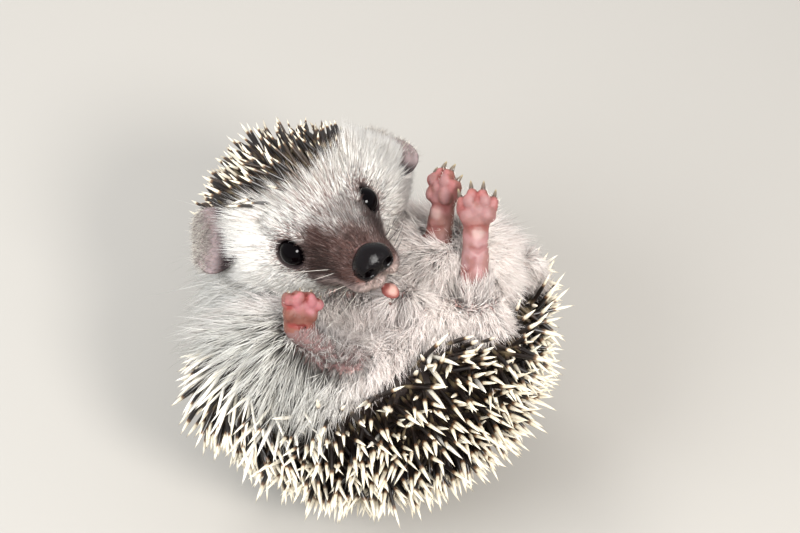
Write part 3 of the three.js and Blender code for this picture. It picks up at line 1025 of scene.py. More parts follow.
def tube_faces(rings: int, sides: int) -> Array:
    """The triangles of a closed form: a pole, rings that turn left about the way it faces, and a pole.

    Args:
        rings: how many rings of points there are.
        sides: how many points are in each.

    Returns:
        Three vertex numbers for each triangle.
    """
    i = np.arange(sides)
    j = (i + 1) % sides
    starts = 1 + sides * np.arange(rings)
    faces = [np.stack([0 * i, 1 + i, 1 + j], 1)]
    for a, b in zip(starts, starts[1:]):
        faces += [np.stack([a + i, b + i, b + j], 1), np.stack([a + i, b + j, a + j], 1)]
    faces.append(np.stack([starts[-1] + i, 0 * i + 1 + rings * sides, starts[-1] + j], 1))
    return np.vstack(faces)


def show(name: str, held: object) -> Object:
    """An object of the scene that holds a mesh, a lamp or a camera."""
    piece = bpy.data.objects.new(name, held)
    bpy.context.scene.collection.objects.link(piece)
    return piece


def store(mesh: Mesh, name: str, kind: str, values: Array) -> None:
    """Keeps a value for each vertex of a mesh under a name."""
    key = {"FLOAT": "value", "FLOAT_VECTOR": "vector", "FLOAT_COLOR": "color"}[kind]
    layer = mesh.attributes.new(name, kind, "POINT")
    layer.data.foreach_set(key, np.ascontiguousarray(values, np.float32).ravel())


def read(items: object, key: str, width: int = 1, kind: type = np.float32) -> Array:
    """Reads one property of every item of a mesh's collection.

    Args:
        items: the collection.
        key: the property's name.
        width: how many numbers it has.
        kind: what they are.

    Returns:
        One number for each item, or one row where there are more.
    """
    out = np.empty(len(items) * width, kind)
    items.foreach_get(key, out)
    return out.reshape(-1, width) if width > 1 else out


def settle(piece: Object) -> Mesh:
    """Gives a piece the mesh that its modifiers make of its own, and returns it."""
    raw = piece.data
    mesh = bpy.data.meshes.new_from_object(piece.evaluated_get(bpy.context.evaluated_depsgraph_get()))
    piece.modifiers.clear()
    piece.data = mesh
    bpy.data.meshes.remove(raw)
    mesh.name = piece.name
    mesh.shade_smooth()
    return mesh


def opaque(color: Array) -> Array:
    """Colours with a full alpha."""
    return np.hstack([color, np.ones((len(color), 1))])


# ---- Finishes ----
def feed(tree: NodeTree, made: Node, feeds: dict) -> None:
    """Gives each named or numbered input of a node its value, or links it to the socket that feeds it."""
    for key, value in feeds.items():
        if isinstance(value, NodeSocket):
            tree.links.new(value, made.inputs[key])
        else:
            made.inputs[key].default_value = value


def node(tree: NodeTree, kind: str, feeds: dict | None = None, **settings: object) -> Node:
    """Adds a node to a tree.

    Args:
        tree: the tree.
        kind: the node's type.
        feeds: for each input, by name or number, a value or the socket that feeds it.
        settings: the node's own settings.

    Returns:
        The node.
    """
    made = tree.nodes.new(kind)
    for key, value in settings.items():
        setattr(made, key, value)
    feed(tree, made, feeds or {})
    return made


def lay_stops(band: ColorRamp, stops: tuple) -> None:
    """Sets a band's colours, each stop a place along it and a hex colour."""
    while len(band.elements) > 1:
        band.elements.remove(band.elements[0])
    band.elements[0].position = stops[0][0]
    band.elements[0].color = (*linear(stops[0][1]), 1)
    for place, code in stops[1:]:
        band.elements.new(place).color = (*linear(code), 1)


@dataclass(frozen=True)
class Finish:
    """A finish that can dress a piece."""

    name: str = "finish"
    roughness: float = 0.5
    ior: float = 1.45
    specular: float = 0.5
    shade: str = ""

    def surface(self, tree: NodeTree) -> dict:
        """What feeds the shader's inputs, apart from the finish's own numbers."""
        return {}

    def material(self) -> Material:
        """Makes the material."""
        made = bpy.data.materials.new(self.name)
        made.use_nodes = True
        tree = made.node_tree
        shader = next(n for n in tree.nodes if n.type == "BSDF_PRINCIPLED")
        own = {"Roughness": self.roughness, "IOR": self.ior, "Specular IOR Level": self.specular}
        if self.shade:
            own["Base Color"] = (*linear(self.shade), 1)
        feed(tree, shader, own)
        feed(tree, shader, self.surface(tree))
        return made


@dataclass(frozen=True)
class LivingHide(Finish):
    """Living skin: matt, softly lit from within, finely creased, and wet on the nose and the lids' edges."""

    name: str = "living_hide"
    roughness: float = 0.6
    ior: float = 1.4
    specular: float = 0.26
    wet_roughness: float = 0.17
    mottle: float = 2.2
    crease: float = 0.45  # about twice a real crease's spacing, which would not show
    pebble: float = 0.55
    relief: float = 0.14
    glow: float = 0.12
    glow_reach: float = 0.9
    glow_colors: tuple = (1.0, 0.4, 0.25)

    def surface(self, tree: NodeTree) -> dict:
        """The markings, the wetness, the creases and the glow of the flesh."""
        place = node(tree, "ShaderNodeTexCoord").outputs["Object"]
        tint = node(tree, "ShaderNodeAttribute", attribute_name="tint").outputs["Color"]
        wet = node(tree, "ShaderNodeAttribute", attribute_name="wet").outputs["Fac"]
        patches = {"Vector": place, "Scale": 1 / (self.mottle * MM), "Detail": 4.0}
        mottle = node(tree, "ShaderNodeTexNoise", patches).outputs[0]
        shade = node(tree, "ShaderNodeMapRange", {0: mottle, 1: 0.3, 2: 0.7, 3: 0.86, 4: 1.1})
        color = node(tree, "ShaderNodeVectorMath", {0: tint, "Scale": shade.outputs[0]}, operation="SCALE")
        span = {0: wet, 1: 0.0, 2: 1.0, 3: self.roughness, 4: self.wet_roughness}
        rough = node(tree, "ShaderNodeMapRange", span)
        cells = {"Vector": place, "Scale": 1 / (self.crease * MM)}
        lines = node(tree, "ShaderNodeTexVoronoi", cells, feature="DISTANCE_TO_EDGE").outputs[0]
        pebbles = {"Vector": place, "Scale": 1 / (self.pebble * MM), "Detail": 3.0}
        grain = node(tree, "ShaderNodeTexNoise", pebbles).outputs[0]
        relief = node(tree, "ShaderNodeMath", {0: lines, 1: 1.4, 2: grain}, operation="MULTIPLY_ADD")
        height = {"Strength": 0.5, "Distance": self.relief * MM, "Height": relief.outputs[0]}
        return {
            "Base Color": color.outputs[0],
            "Roughness": rough.outputs[0],
            "Normal": node(tree, "ShaderNodeBump", height).outputs[0],
            "Subsurface Weight": self.glow,
            "Subsurface Radius": self.glow_colors,
            "Subsurface Scale": self.glow_reach * MM,
        }


@dataclass(frozen=True)
class HairKeratin(Finish):
    """Animal hair: keratin that is smooth along its length, with a faint sheen, darkened towards its root as
    painted shade of the coat's depths.
    """

    name: str = "hair_keratin"
    roughness: float = 0.55
    specular: float = 0.35
    root_shade: float = 0.72

    def surface(self, tree: NodeTree) -> dict:
        """Each hair's own tint, with painted shade towards its root."""
        tint = node(tree, "ShaderNodeAttribute", attribute_name="tint").outputs["Color"]
        along = node(tree, "ShaderNodeAttribute", attribute_name="along").outputs["Fac"]
        shade = node(tree, "ShaderNodeMapRange", {0: along, 1: 0.0, 2: 0.6, 3: self.root_shade, 4: 1.0})
        color = node(tree, "ShaderNodeVectorMath", {0: tint, "Scale": shade.outputs[0]}, operation="SCALE")
        return {"Base Color": color.outputs[0]}


@dataclass(frozen=True)
class QuillKeratin(Finish):
    """A hedgehog's spine: hard, faintly glossy keratin, cream with one broad dark band below its tip,
    darkened towards its root as painted shade of the gaps between quills.
    """

    name: str = "quill_keratin"
    roughness: float = 0.4
    ior: float = 1.54
    # The stops at 0.0 and 0.22 darken the root: painted shade of the gaps between quills.
    bands: tuple = (
        (0.0, "4d4235"), (0.22, "77684f"), (0.31, "3a2a1f"), (0.37, "1a110d"), (0.64, "150e0a"),
        (0.69, "6b4d33"), (0.725, "d3c7ae"), (0.86, "efe6d3"), (1.0, "e4d8be"),
    )

    def surface(self, tree: NodeTree) -> dict:
        """The bands, which shift a little from quill to quill, and the pale quills."""
        along, tone, pale = (
            node(tree, "ShaderNodeAttribute", attribute_name=name).outputs["Fac"]
            for name in ("along", "tone", "pale")
        )
        tint = node(tree, "ShaderNodeAttribute", attribute_name="tint").outputs["Color"]
        slide = node(tree, "ShaderNodeMath", {0: tone, 1: 0.13, 2: -0.06}, operation="MULTIPLY_ADD")
        at = node(tree, "ShaderNodeMath", {0: along, 1: slide.outputs[0]}, operation="ADD").outputs[0]
        bands = node(tree, "ShaderNodeValToRGB", {0: at})
        lay_stops(bands.color_ramp, self.bands)
        # Painted shade: the pale quills darken towards their roots.
        foot = node(tree, "ShaderNodeMapRange", {0: along, 1: 0.12, 2: 0.55, 3: 0.22, 4: 1.0}).outputs[0]
        light = node(tree, "ShaderNodeVectorMath", {0: tint, "Scale": foot}, operation="SCALE").outputs[0]
        color = node(tree, "ShaderNodeMix", {0: pale, 6: bands.outputs[0], 7: light}, data_type="RGBA")
        return {"Base Color": color.outputs[2]}


@dataclass(frozen=True)
class WetEye(Finish):
    """A small mammal's eye: a brown so dark that it looks black, under a clear wet surface."""

    name: str = "wet_eye"
    roughness: float = 0.03
    ior: float = 1.38
    specular: float = 0.11
    shade: str = "040203"


@dataclass(frozen=True)
class ClawKeratin(Finish):
    """A claw: translucent horn, greyish at its root and pale at its tip."""

    name: str = "claw_keratin"
    roughness: float = 0.35
    ior: float = 1.54
    bands: tuple = ((0.0, "5c4139"), (0.3, "53463d"), (0.7, "6f6250"), (1.0, "a3936f"))

    def surface(self, tree: NodeTree) -> dict:
        """The change of colour along the claw."""
        along = node(tree, "ShaderNodeAttribute", attribute_name="along").outputs["Fac"]
        color = node(tree, "ShaderNodeValToRGB", {0: along})
        lay_stops(color.color_ramp, self.bands)
        return {"Base Color": color.outputs[0]}


@dataclass(frozen=True)
class PaperSweep(Finish):
    """Matt background paper."""

    name: str = "paper_sweep"
    roughness: float = 0.9
    specular: float = 0.2
    shade: str = "a19d97"


# ---- Roots and spikes ----
def spaced(p: Array, gap: float | Array, rng: Chance) -> Array:
    """The numbers of points chosen at random so that no two are nearer than a gap."""
    cells: dict = {}
    chosen = []
    gap = np.broadcast_to(gap, len(p))
    keys = np.floor(p / gap.max()).astype(int)
    around = [np.array(o) - 1 for o in np.ndindex(3, 3, 3)]
    for i in rng.permutation(len(p)):
        key = keys[i]
        near = [j for o in around for j in cells.get(tuple(key + o), ())]
        if near and ((p[near] - p[i]) ** 2).sum(1).min() < gap[i] * gap[i]:
            continue
        cells.setdefault(tuple(key), []).append(i)
        chosen.append(i)
    return np.array(chosen)


@dataclass
class Spikes:
    """The roots of one piece of coat, with each spike's way, sizes and colour. Millimetres."""

    p: Array
    way: Array
    length: Array
    width: Array
    bend: Array
    uv: Array
    tint: Array
    pale: Array
    tone: Array
    sink: float = 0.35

    def pick(self, chosen: Array) -> "Spikes":
        """Some of the spikes."""
        kept = ("p", "way", "length", "width", "bend", "uv", "tint", "pale", "tone")
        return replace(self, **{name: getattr(self, name)[chosen] for name in kept})

    def keep_above_floor(self, floor: float = 0.12) -> None:
        """Lays flatter each spike that would pass through the floor."""
        for _ in range(2):
            tip = self.p[:, 2] + self.way[:, 2] * self.length + self.bend[:, 2]
            low = tip < floor + 0.2 * self.width
            self.bend[low, 2] = np.maximum(self.bend[low, 2], 0)
            room = floor + 0.2 * self.width - self.bend[:, 2] - self.p[:, 2]
            want = np.clip(room / self.length, -0.95, 0.95)[low, None]
            flat = unit(self.way[low, :2])
            self.way[low] = np.hstack([flat * np.sqrt(1 - want**2), want])

    def clump(self, size: float, pull: float | Array, shade: float, rng: Chance) -> None:
        """Draws the tips of neighbouring hairs together into locks.

        Args:
            size: how far apart the locks are.
            pull: how far the tips are drawn together, from 0 to 1.
            shade: how far the locks differ in brightness, from 0 to 1.
            rng: the source of chance.
        """
        middles = spaced(self.p, size, rng)
        tree = tree_of(self.p[middles])
        group = np.array([tree.find(at)[1] for at in self.p])
        count = np.bincount(group).astype(float)
        tip = self.p + self.way * self.length[:, None]
        middle = np.stack([np.bincount(group, tip[:, i]) / count for i in range(3)], 1)[group]
        share = (pull * rng.uniform(0.55, 1.0, len(tip)))[:, None]
        self.way = unit(mix(tip, middle, share) - self.p)
        self.tint = self.tint * (1 - shade * rng.random(len(middles)) ** 1.5)[group, None]

    def turns(self, rng: Chance) -> Array:
        """Each spike's turn as Euler angles, with a chance spin about its own length."""
        z = self.way
        side = unit(np.cross(z, rng.normal(size=z.shape)))
        y = np.cross(z, side)
        tilt = np.arctan2(-side[:, 2], np.hypot(side[:, 0], side[:, 1]))
        return np.stack([np.arctan2(y[:, 2], z[:, 2]), tilt, np.arctan2(side[:, 1], side[:, 0])], 1)


@dataclass
class Roots:
    """Where hairs grow: points, outward directions, places in the map, parts, and points by the head."""

    p: Array
    up: Array
    uv: Array
    part: Array
    h: Array

    def pick(self, chosen: Array) -> "Roots":
        """Some of the roots."""
        return Roots(*(getattr(self, name)[chosen] for name in ("p", "up", "uv", "part", "h")))

    def hairs(
        self, way: Array, length: Array, width: Array, bend: Array, tint: Array, rng: Chance
    ) -> Spikes:
        """Hairs of one colour each from these roots."""
        n = len(self.p)
        return Spikes(self.p, way, length, width, bend, self.uv, tint, np.zeros(n), rng.random(n))


# ---- Skin ----
class Skin:
    """The one skin: its mesh, and what the coat needs to be rooted in it."""

    THINNED = 0.38
    THINNED_FACE = 0.06

    def __init__(self, place: Bearings) -> None:
        """Models the flesh and draws its surface."""
        self.place = place
        self.clay = Flesh(place).model()
        points, faces = self.clay.surface()
        log.info("flesh: %d points", len(points))
        mesh = mesh_of("skin", place.metres(points), faces)
        self.piece = self.thin(show("skin", mesh), points)
        self.unwrap()
        self.measure()

    def thin(self, piece: Object, points: Array) -> Object:
        """Thins the mesh where the coat hides it, and keeps the face, ears and feet fine."""
        part = self.clay.part_at(points)
        h = self.place.to_head(points)
        face = (part == Part.HEAD) & (h[:, 0] > -6) & (h[:, 2] < 9)
        fine = np.isin(part, (Part.NOSE, Part.EAR, Part.FOOT)) | face
        hidden = piece.vertex_groups.new(name="hidden")
        hidden.add(np.flatnonzero(~fine).tolist(), 1.0, "REPLACE")
        hidden.add(np.flatnonzero(fine).tolist(), self.THINNED_FACE, "REPLACE")
        cut = piece.modifiers.new("thin", "DECIMATE")
        cut.ratio = self.THINNED
        cut.vertex_group = "hidden"
        settle(piece)
        piece.vertex_groups.clear()
        return piece

    def unwrap(self) -> None:
        """Lays the skin out flat in the map OFBake."""
        self.piece.data.uv_layers.new(name="OFBake")
        bpy.context.view_layer.objects.active = self.piece
        self.piece.select_set(True)
        bpy.ops.object.mode_set(mode="EDIT")
        bpy.ops.mesh.select_all(action="SELECT")
        bpy.ops.uv.smart_project(angle_limit=math.radians(66), island_margin=0.001)
        bpy.ops.object.mode_set(mode="OBJECT")
        self.piece.select_set(False)

    def measure(self) -> None:
        """Reads the finished skin: points, directions, parts, triangles and their places in the map."""
        mesh = self.piece.data
        mesh.calc_loop_triangles()
        self.points = read(mesh.vertices, "co", 3).astype(float) / MM - self.place.shift
        self.up = unit(self.clay.slope(self.points))
        self.part = self.clay.part_at(self.points)
        corners = read(mesh.loop_triangles, "loops", 3, np.int32)
        self.triangles = read(mesh.loop_triangles, "vertices", 3, np.int32)
        self.map = read(mesh.uv_layers["OFBake"].data, "uv", 2)[corners]
        a, b, c = (self.points[self.triangles[:, i]] for i in range(3))
        self.area = np.linalg.norm(np.cross(b - a, c - a), axis=1) / 2
        log.info("skin: %d triangles, %.0f square mm", len(self.area), self.area.sum())

    def hollow(self) -> Array:
        """How deep in a crease each point of the skin lies, from 0 to 1, which sets the painted shade of the
        creases.
        """
        shut = np.zeros(len(self.points))
        for reach in (0.5, 1.1):
            shut = np.maximum(shut, 1 - self.clay.sample(self.points + self.up * reach) / reach)
        return ease(0.05, 0.45, shut)

    def dress(self) -> None:
        """Colours the skin, hangs it from the root and hides the imported solids of flesh that it stands for.
        """
        color, wet = Markings(self.place).hide(self.points, self.part, self.up, self.hollow())
        store(self.piece.data, "tint", "FLOAT_COLOR", opaque(color))
        store(self.piece.data, "wet", "FLOAT", wet)
        self.piece.data.materials.append(LivingHide().material())
        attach(self.piece, "root")
        flesh = [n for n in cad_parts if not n.startswith("eye_")]
        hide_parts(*flesh)

    def scatter(self, density: Array, count: int, rng: Chance) -> Roots:
        """Roots at chance places on the skin.

        Args:
            density: how closely hairs grow at each vertex of the skin.
            count: how many roots.
            rng: the source of chance.

        Returns:
            The roots.
        """
        weight = self.area * density[self.triangles].mean(1)
        face = np.sort(rng.choice(len(weight), count, p=weight / weight.sum()))
        s, t = np.sqrt(rng.random(count)), rng.random(count)
        share = np.stack([1 - s, s * (1 - t), s * t], 1)
        corner = self.triangles[face]
        first = corner[np.arange(count), share.argmax(1)]
        corners = (self.points[corner], self.up[corner], self.map[face])
        p, up, uv = ((values * share[..., None]).sum(1) for values in corners)
        return Roots(p, unit(up), uv, self.part[first], self.place.to_head(p))


# ---- Coat ----
class SpikeTree:
    """A tree of geometry nodes that grows one tapered spike of mesh from each root."""

    NAME = "coat_spikes"

    @classmethod
    def tree(cls) -> NodeTree:
        """The tree, built once."""
        if cls.NAME in bpy.data.node_groups:
            return bpy.data.node_groups[cls.NAME]
        t = bpy.data.node_groups.new(cls.NAME, "GeometryNodeTree")
        face = t.interface
        face.new_socket("Roots", in_out="INPUT", socket_type="NodeSocketGeometry")
        kinds = {"Sides": "Int", "Segments": "Int", "Fullness": "Float", "Neck": "Float"}
        for name, kind in (*kinds.items(), ("Finish", "Material")):
            face.new_socket(name, in_out="INPUT", socket_type="NodeSocket" + kind)
        face.new_socket("Coat", in_out="OUTPUT", socket_type="NodeSocketGeometry")
        given = node(t, "NodeGroupInput").outputs
        cone = {
            "Vertices": given["Sides"], "Side Segments": given["Segments"],
            "Radius Top": 0.0, "Radius Bottom": 1.0, "Depth": 1.0,
        }
        shape = node(t, "GeometryNodeMeshCone", cone).outputs[0]
        spot = node(t, "GeometryNodeInputPosition").outputs[0]
        here = node(t, "ShaderNodeSeparateXYZ", {0: spot}).outputs
        for name, value in (("along", here[2]), ("across", here[0])):
            feeds = {"Geometry": shape, "Name": name, "Value": value}
            shape = node(t, "GeometryNodeStoreNamedAttribute", feeds, data_type="FLOAT").outputs[0]
        square = node(t, "ShaderNodeMath", {0: here[2], 1: here[2]}, operation="MULTIPLY").outputs[0]
        once = node(t, "ShaderNodeMath", {0: here[2], 1: 1.0}, operation="ADD").outputs[0]
        feeds = {0: square, 1: given["Fullness"], 2: once}
        full = node(t, "ShaderNodeMath", feeds, operation="MULTIPLY_ADD").outputs[0]
        widen = {0: here[2], 1: 0.0, 2: 0.22, 3: given["Neck"], 4: 1.0}
        neck = node(t, "ShaderNodeMapRange", widen, interpolation_type="SMOOTHSTEP").outputs[0]
        girth = node(t, "ShaderNodeMath", {0: full, 1: neck}, operation="MULTIPLY").outputs[0]
        stretch = node(t, "ShaderNodeCombineXYZ", {0: girth, 1: girth, 2: 1.0}).outputs[0]
        formed = node(t, "ShaderNodeVectorMath", {0: spot, 1: stretch}, operation="MULTIPLY").outputs[0]
        shape = node(t, "GeometryNodeSetPosition", {"Geometry": shape, "Position": formed}).outputs[0]
        turn, size, bend, along = (
            node(t, "GeometryNodeInputNamedAttribute", {"Name": name}, data_type=kind).outputs[0]
            for name, kind in (*((n, "FLOAT_VECTOR") for n in ("turn", "size", "bend")), ("along", "FLOAT"))
        )
        turn = node(t, "FunctionNodeEulerToRotation", {0: turn}).outputs[0]
        feeds = {"Points": given["Roots"], "Instance": shape, "Rotation": turn, "Scale": size}
        placed = node(t, "GeometryNodeInstanceOnPoints", feeds).outputs[0]
        solid = node(t, "GeometryNodeRealizeInstances", {0: placed}).outputs[0]
        power = node(t, "ShaderNodeMath", {0: along, 1: 2.0}, operation="POWER").outputs[0]
        droop = node(t, "ShaderNodeVectorMath", {0: bend, "Scale": power}, operation="SCALE").outputs[0]
        bent = node(t, "GeometryNodeSetPosition", {"Geometry": solid, "Offset": droop}).outputs[0]
        done = node(t, "GeometryNodeSetMaterial", {"Geometry": bent, "Material": given["Finish"]}).outputs[0]
        node(t, "NodeGroupOutput", {0: done})
        return t


@dataclass
class CoatPiece:
    """One piece of the coat: its name, the shape of its spikes and its finish."""

    name: str
    slot: str
    finish: Material
    sides: int = 3
    segments: int = 2
    fullness: float = 0.2
    neck: float = 0.8
    seed: int = 1

    def grow(self, place: Bearings, s: Spikes) -> Object:
        """Grows the spikes.

        Args:
            place: the animal's frame.
            s: the roots and what grows from them.

        Returns:
            The finished piece.
        """
        rng = np.random.default_rng(self.seed)
        roots = bpy.data.meshes.new(self.name)
        roots.vertices.add(len(s.p))
        start = s.p - s.way * s.sink
        roots.vertices.foreach_set("co", place.metres(start).astype(np.float32).ravel())
        size = np.stack([s.width / 2, s.width / 2, s.length + s.sink], 1) * MM
        root = np.pad(s.uv, ((0, 0), (0, 1)))
        kept = {
            "FLOAT_VECTOR": {"turn": s.turns(rng), "size": size, "bend": s.bend * MM, "root": root},
            "FLOAT_COLOR": {"tint": opaque(s.tint)},
            "FLOAT": {"tone": s.tone, "pale": s.pale},
        }
        for kind, layers in kept.items():
            for name, values in layers.items():
                store(roots, name, kind, values)
        piece = show(self.name, roots)
        tree = SpikeTree.tree()
        growth = piece.modifiers.new("growth", "NODES")
        growth.node_group = tree
        sockets = {socket.name: socket.identifier for socket in tree.interface.items_tree}
        for name in ("Sides", "Segments", "Fullness", "Neck", "Finish"):
            growth[sockets[name]] = getattr(self, name.lower())
        mesh = settle(piece)
        self.lay_map(mesh)
        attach(piece, "root")
        count = sum(len(p.vertices) - 2 for p in mesh.polygons)
        log.info("%s: %d spikes, %d triangles", self.name, len(s.p), count)
        return piece

    @staticmethod
    def lay_map(mesh: Mesh) -> None:
        """Gives each spike a small patch of the map OFBake at its root's place."""
        root = read(mesh.attributes["root"].data, "vector", 3)[:, :2]
        along, across = (read(mesh.attributes[name].data, "value") for name in ("along", "across"))
        spot = root + ROOT_PATCH * np.stack([0.5 * across, along - 0.5], 1)
        corner = read(mesh.loops, "vertex_index", kind=np.int32)
        layer = mesh.uv_layers.get("OFBake") or mesh.uv_layers.new(name="OFBake")
        layer.data.foreach_set("uv", np.clip(spot, 0, 1)[corner].astype(np.float32).ravel())
        for name in ("root", "across", "turn", "size", "bend"):
            if name in mesh.attributes:
                mesh.attributes.remove(mesh.attributes[name])


@dataclass
class Lie:
    """Which way the coat lies over the animal."""

    place: Bearings
    belly_middle: tuple = (21.0, 20.0, 0.0)
    shoulder_top: tuple = (-10.0, -3.0, 0.0)

    def along(self, v: Array, up: Array) -> Array:
        """The part of each direction that runs along the skin, at length one."""
        return unit(v - up * (v * up).sum(1, keepdims=True))

    def from_nose(self, p: Array, up: Array) -> Array:
        """Over the head, away from the nose."""
        h = self.place.to_head(p)
        way = h - (27.0, 0, -2.5)
        way[:, 0] -= 6
        way[:, 2] += 3 * ease(-4, 6, h[:, 2])
        return self.along(self.place.way_from_head(unit(way)), up)

    def from_belly(self, p: Array, up: Array) -> Array:
        """Over the trunk, out from the belly's middle or the shoulder's top and down its sides."""
        shoulder = (ease(4, -14, p[:, 0]) * ease(2, -8, p[:, 1]))[:, None]
        way = p - mix(np.array([self.belly_middle]), np.array(self.shoulder_top), shoulder)
        way[:, 2] = 0
        chest = ease(17, 8, np.linalg.norm(p - (-1.0, -8.0, 58.0), axis=1))[:, None]
        way = mix(unit(way), np.array([[0.1, -1.0, 0.0]]), chest)
        return self.along(way + (0, 0, -0.6), up)

    def to_tail(self, p: Array, up: Array) -> Array:
        """Over the back, towards the tail."""
        return self.along(np.tile([0.93, 0.36, 0.0], (len(p), 1)), up)

    def down_limbs(self, p: Array, up: Array) -> Array:
        """Over each leg and foot, towards the toes of the nearest one."""
        way = np.zeros_like(p)
        best = np.full(len(p), 1e9)
        for foot in FEET.values():
            gap = np.linalg.norm(p - foot.heel, axis=1)
            way[gap < best] = foot.axes[0]
            best = np.minimum(best, gap)
        return self.along(way, up)


class Coat:
    """What every part of the coat shares: the skin it grows from, its lie, its markings and its finishes.

    Hairs are fewer than real ones and two or three times as thick, so that they show.
    """

    def __init__(self, skin: Skin) -> None:
        """Works out what the parts share."""
        self.skin = skin
        self.place = skin.place
        self.lie = Lie(skin.place)
        self.marks = Markings(skin.place)
        self.quilling = self.marks.quilling
        self.head = self.place.to_head(skin.points)
        self.spiny = self.quilling.share(skin.points, skin.part)
        self.open = ease(0.2, 1.2, skin.clay.sample(skin.points + skin.up * 2.4)) + 0.06
        self.lids = self.place.eye_gap(skin.points)
        self.hair = HairKeratin().material()
        self.long_hair = HairKeratin(name="long_hair_keratin", root_shade=0.3).material()
        self.quill = QuillKeratin().material()

    @staticmethod
    def raised(flow: Array, up: Array, lift: Array, stray: Array | float, rng: Chance) -> Array:
        """Ways that leave the skin at an angle and stray from the lie.

        Args:
            flow: the lie of the coat along the skin.
            up: the skin's outward direction.
            lift: the angle off the skin, in degrees.
            stray: how far the ways turn aside by chance, in degrees.
            rng: the source of chance.

        Returns:
            One direction for each.
        """
        turn = np.radians(rng.normal(0, 1, len(up)) * stray)[:, None]
        flat = flow * np.cos(turn) + np.cross(up, flow) * np.sin(turn)
        rise = np.radians(lift)[:, None]
        return unit(flat * np.cos(rise) + up * np.sin(rise))

    def pieces(self, count: int, shape: CoatPiece, s: Spikes) -> list[Object]:
        """Grows spikes as a few pieces, from one end of the animal to the other."""
        made = []
        for i, chosen in enumerate(np.array_split(np.argsort(s.p[:, 0]), count)):
            own = replace(shape, name=f"{shape.name}_{i + 1}", seed=shape.seed + i)
            made.append(own.grow(self.place, s.pick(chosen)))
        return made

    def clear(self, s: Spikes, margin: float = 0.25) -> Spikes:
        """Only the spikes that do not come nearer to the flesh again than a margin."""
        free = np.ones(len(s.p), bool)
        for share in (0.35, 0.6, 0.8, 1.0):
            free &= self.skin.clay.sample(s.p + s.way * (s.length * share)[:, None]) > margin
        return s.pick(free)

    def grow(self) -> list[Object]:
        """Every piece of the coat."""
        parts = (Quills, FaceFur, MuzzleFur, BodyFur, Down, Whiskers)
        return [piece for part in parts for piece in part(self).build()]


@dataclass
class QuillBed:
    """The quills' roots, and how far each lies in each region of the spiny skin, from 0 to 1."""

    roots: Roots
    crown: Array
    nape: Array
    front: Array
    near_flank: Array
    outer_flank: Array
    rim: Array
    shoulder: Array


